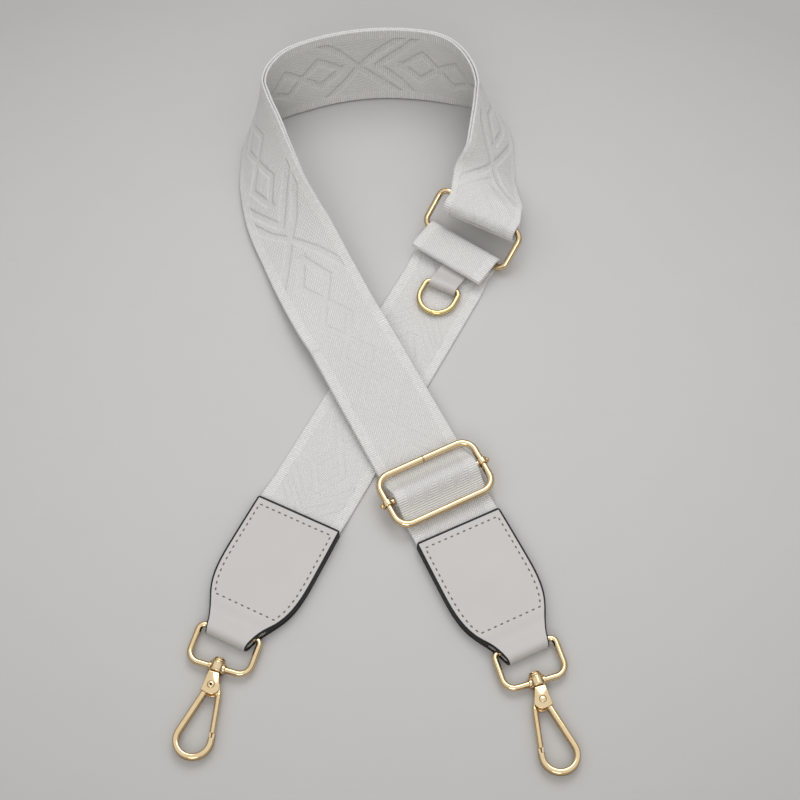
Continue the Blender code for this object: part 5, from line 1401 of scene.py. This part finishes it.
def tube_ring(outer, inner, long, rim, steps=40):
    """Short tube about Z with rounded rims, as points and faces."""
    half = long / 2
    section = rounded_profile(outer, -half, half, rim)[1:-1] + [(inner, -half), (inner, half)]
    count = len(section)
    points = [(r * x, r * y, z) for x, y in circle(1.0, steps) for r, z in section]
    faces = []
    for k in range(steps):
        for i in range(count):
            a, b = k * count, ((k + 1) % steps) * count
            faces.append((a + i, a + (i + 1) % count, b + (i + 1) % count, b + i))
    return points, faces


def rings():
    width = RING_INNER_WIDTH + 2 * RING_WIRE_RADIUS
    shape = Shape(RING)
    outline = rounded_rectangle(width, RING_PITCH, RING_CORNER, RING_CORNER)
    shape.wire(closed(tidy_path([(x, y + RING_PITCH / 2) for x, y in outline])), RING_WIRE_RADIUS)
    shape.done("ring_wire", "ring", "ring")
    reach = D_RING_SIDE + D_RING_INNER_WIDTH / 2 + D_RING_WIRE_RADIUS
    low = KEEPER_LEVEL + D_RING_WIRE_RADIUS
    droop = math.degrees(math.asin((D_RING_HEIGHT - low) / reach))
    place = SHORT_STRAP @ shift(KEEPER_SHIFT, D_RING_PLACE, D_RING_HEIGHT) @ turn("X", droop)
    radius = D_RING_INNER_WIDTH / 2 + D_RING_WIRE_RADIUS
    corner = D_RING_CORNER
    path = arc((radius - corner, -corner), corner, 90, 0, 10)
    path += arc((0.0, -D_RING_SIDE), radius, 0, -180, 40)
    path += arc((-radius + corner, -corner), corner, 180, 90, 10)
    shape = Shape(place)
    shape.wire(closed(tidy_path(path)), D_RING_WIRE_RADIUS, around=28)
    shape.done("d_ring_wire", "d_ring", "d_ring", YELLOW_GOLD)


def keeper():
    """Leather loop round the D-ring's bar, both its ends under the flap."""
    fold = KEEPER_FOLD_RADIUS
    outer = fold + KEEPER_THICKNESS / 2
    tail_top = KEEPER_TAIL_THICKNESS - outer - KEEPER_THICKNESS / 2
    tail_end = KEEPER_REACH + KEEPER_TAIL
    split = KEEPER_REACH * 0.78
    profile = [(tail_end, -fold), (split, -fold), (0.0, -fold)]
    profile += arc((0.0, 0.0), fold, 270, 90, 24)[1:-1]
    profile += [(split * s, lerp(fold, tail_top, ease(s) * 0.75 + s * 0.25)) for s in
                (0.0, 0.15, 0.3, 0.45, 0.6, 0.75, 0.9, 1.0)]
    profile.append((tail_end, tail_top))
    place = SHORT_STRAP @ shift(KEEPER_SHIFT, D_RING_PLACE, D_RING_HEIGHT)
    path = softened(even_path(profile, 0.35 * MM)[0], 3)
    middles = placed(place, [(0.0, a, b) for a, b in path])
    across = width_rows(place, len(middles), -1.0)
    result = strip(middles, across, KEEPER_WIDTH / 2, KEEPER_THICKNESS * 0.97, 24, 10, 0.2 * MM)
    add("keeper_leather", strip_mesh("keeper_leather", result), [LEATHER], "strap",
        ["d_ring_keeper"])


def hardware():
    clasp("left", LEFT_TAB, -CLASP_YAW - LEFT_TAB_YAW, 180)
    clasp("right", RIGHT_TAB, CLASP_YAW - RIGHT_TAB_YAW, 0)
    slider_metal()
    rings()


# Stage, light and camera

def stage():
    corners = [(x * TABLE_REACH, y * TABLE_REACH, 0) for x, y in ((-1, -1), (1, -1), (1, 1), (-1, 1))]
    mesh = mesh_of("table_top", corners, [(0, 1, 2, 3)], smooth=False)
    table = bpy.data.objects.new("table_top", mesh)
    bpy.context.scene.collection.objects.link(table)
    mesh.materials.append(table_top("pale_table", (0.575, 0.565, 0.55)))


def area_lamp(name, place, target, size, energy):
    lamp = bpy.data.lights.new(name, "AREA")
    lamp.shape = "DISK"
    lamp.size = size
    lamp.energy = energy
    made = bpy.data.objects.new(name, lamp)
    made.location = place
    made.rotation_euler = (Vector(target) - Vector(place)).to_track_quat("-Z", "Y").to_euler()
    bpy.context.scene.collection.objects.link(made)


def light():
    area_lamp("main_softbox", (0.12, 0.78, 1.20), (0.0, 0.0, 0.0), 0.95, 5.6)
    area_lamp("front_softbox", (-0.20, -1.70, 1.40), (0.0, 0.0, 0.0), 1.10, 7.2)
    world = bpy.data.worlds.new("studio")
    bpy.context.scene.world = world
    world.use_nodes = True
    tree = world.node_tree
    background = tree.nodes["Background"]
    place = tree.nodes.new("ShaderNodeTexCoord")
    axes = tree.nodes.new("ShaderNodeSeparateXYZ")
    tree.links.new(place.outputs["Generated"], axes.inputs[0])
    # One room for every ray: dim low walls under a pale ceiling
    room = ((0.0, (0.19, 0.175, 0.16)), (0.30, (0.21, 0.195, 0.18)), (0.46, (0.50, 0.49, 0.48)),
            (0.62, (0.82, 0.82, 0.82)), (1.0, (0.89, 0.895, 0.91)))
    ramp = tree.nodes.new("ShaderNodeValToRGB")
    tree.links.new(axes.outputs["Z"], ramp.inputs[0])
    stops = ramp.color_ramp.elements
    stops[0].position, stops[0].color = room[0][0], (*room[0][1], 1)
    stops[1].position, stops[1].color = room[-1][0], (*room[-1][1], 1)
    for position, colour in room[1:-1]:
        stops.new(position).color = (*colour, 1)
    tree.links.new(ramp.outputs[0], background.inputs["Color"])


def camera():
    lens = bpy.data.cameras.new("photo_camera")
    lens.lens = CAMERA_LENS
    lens.sensor_width = 36.0
    lens.clip_start = 0.01
    made = bpy.data.objects.new("photo_camera", lens)
    target = Vector(CAMERA_TARGET)
    made.location = target + Vector(CAMERA_OFFSET)
    made.rotation_euler = (target - made.location).to_track_quat("-Z", "Y").to_euler()
    bpy.context.scene.collection.objects.link(made)
    bpy.context.scene.camera = made


camera()
long_cloth, long_length = long_webbing()
short_cloth, short_length = short_webbing()
sewn_cloth, sewn_length, threaded_cloth, threaded_length = slider_cloths()
end_tab("left", LEFT_TAB)
end_tab("right", RIGHT_TAB)
keeper()
hardware()
stage()
light()

bpy.context.scene.view_settings.view_transform = "Standard"
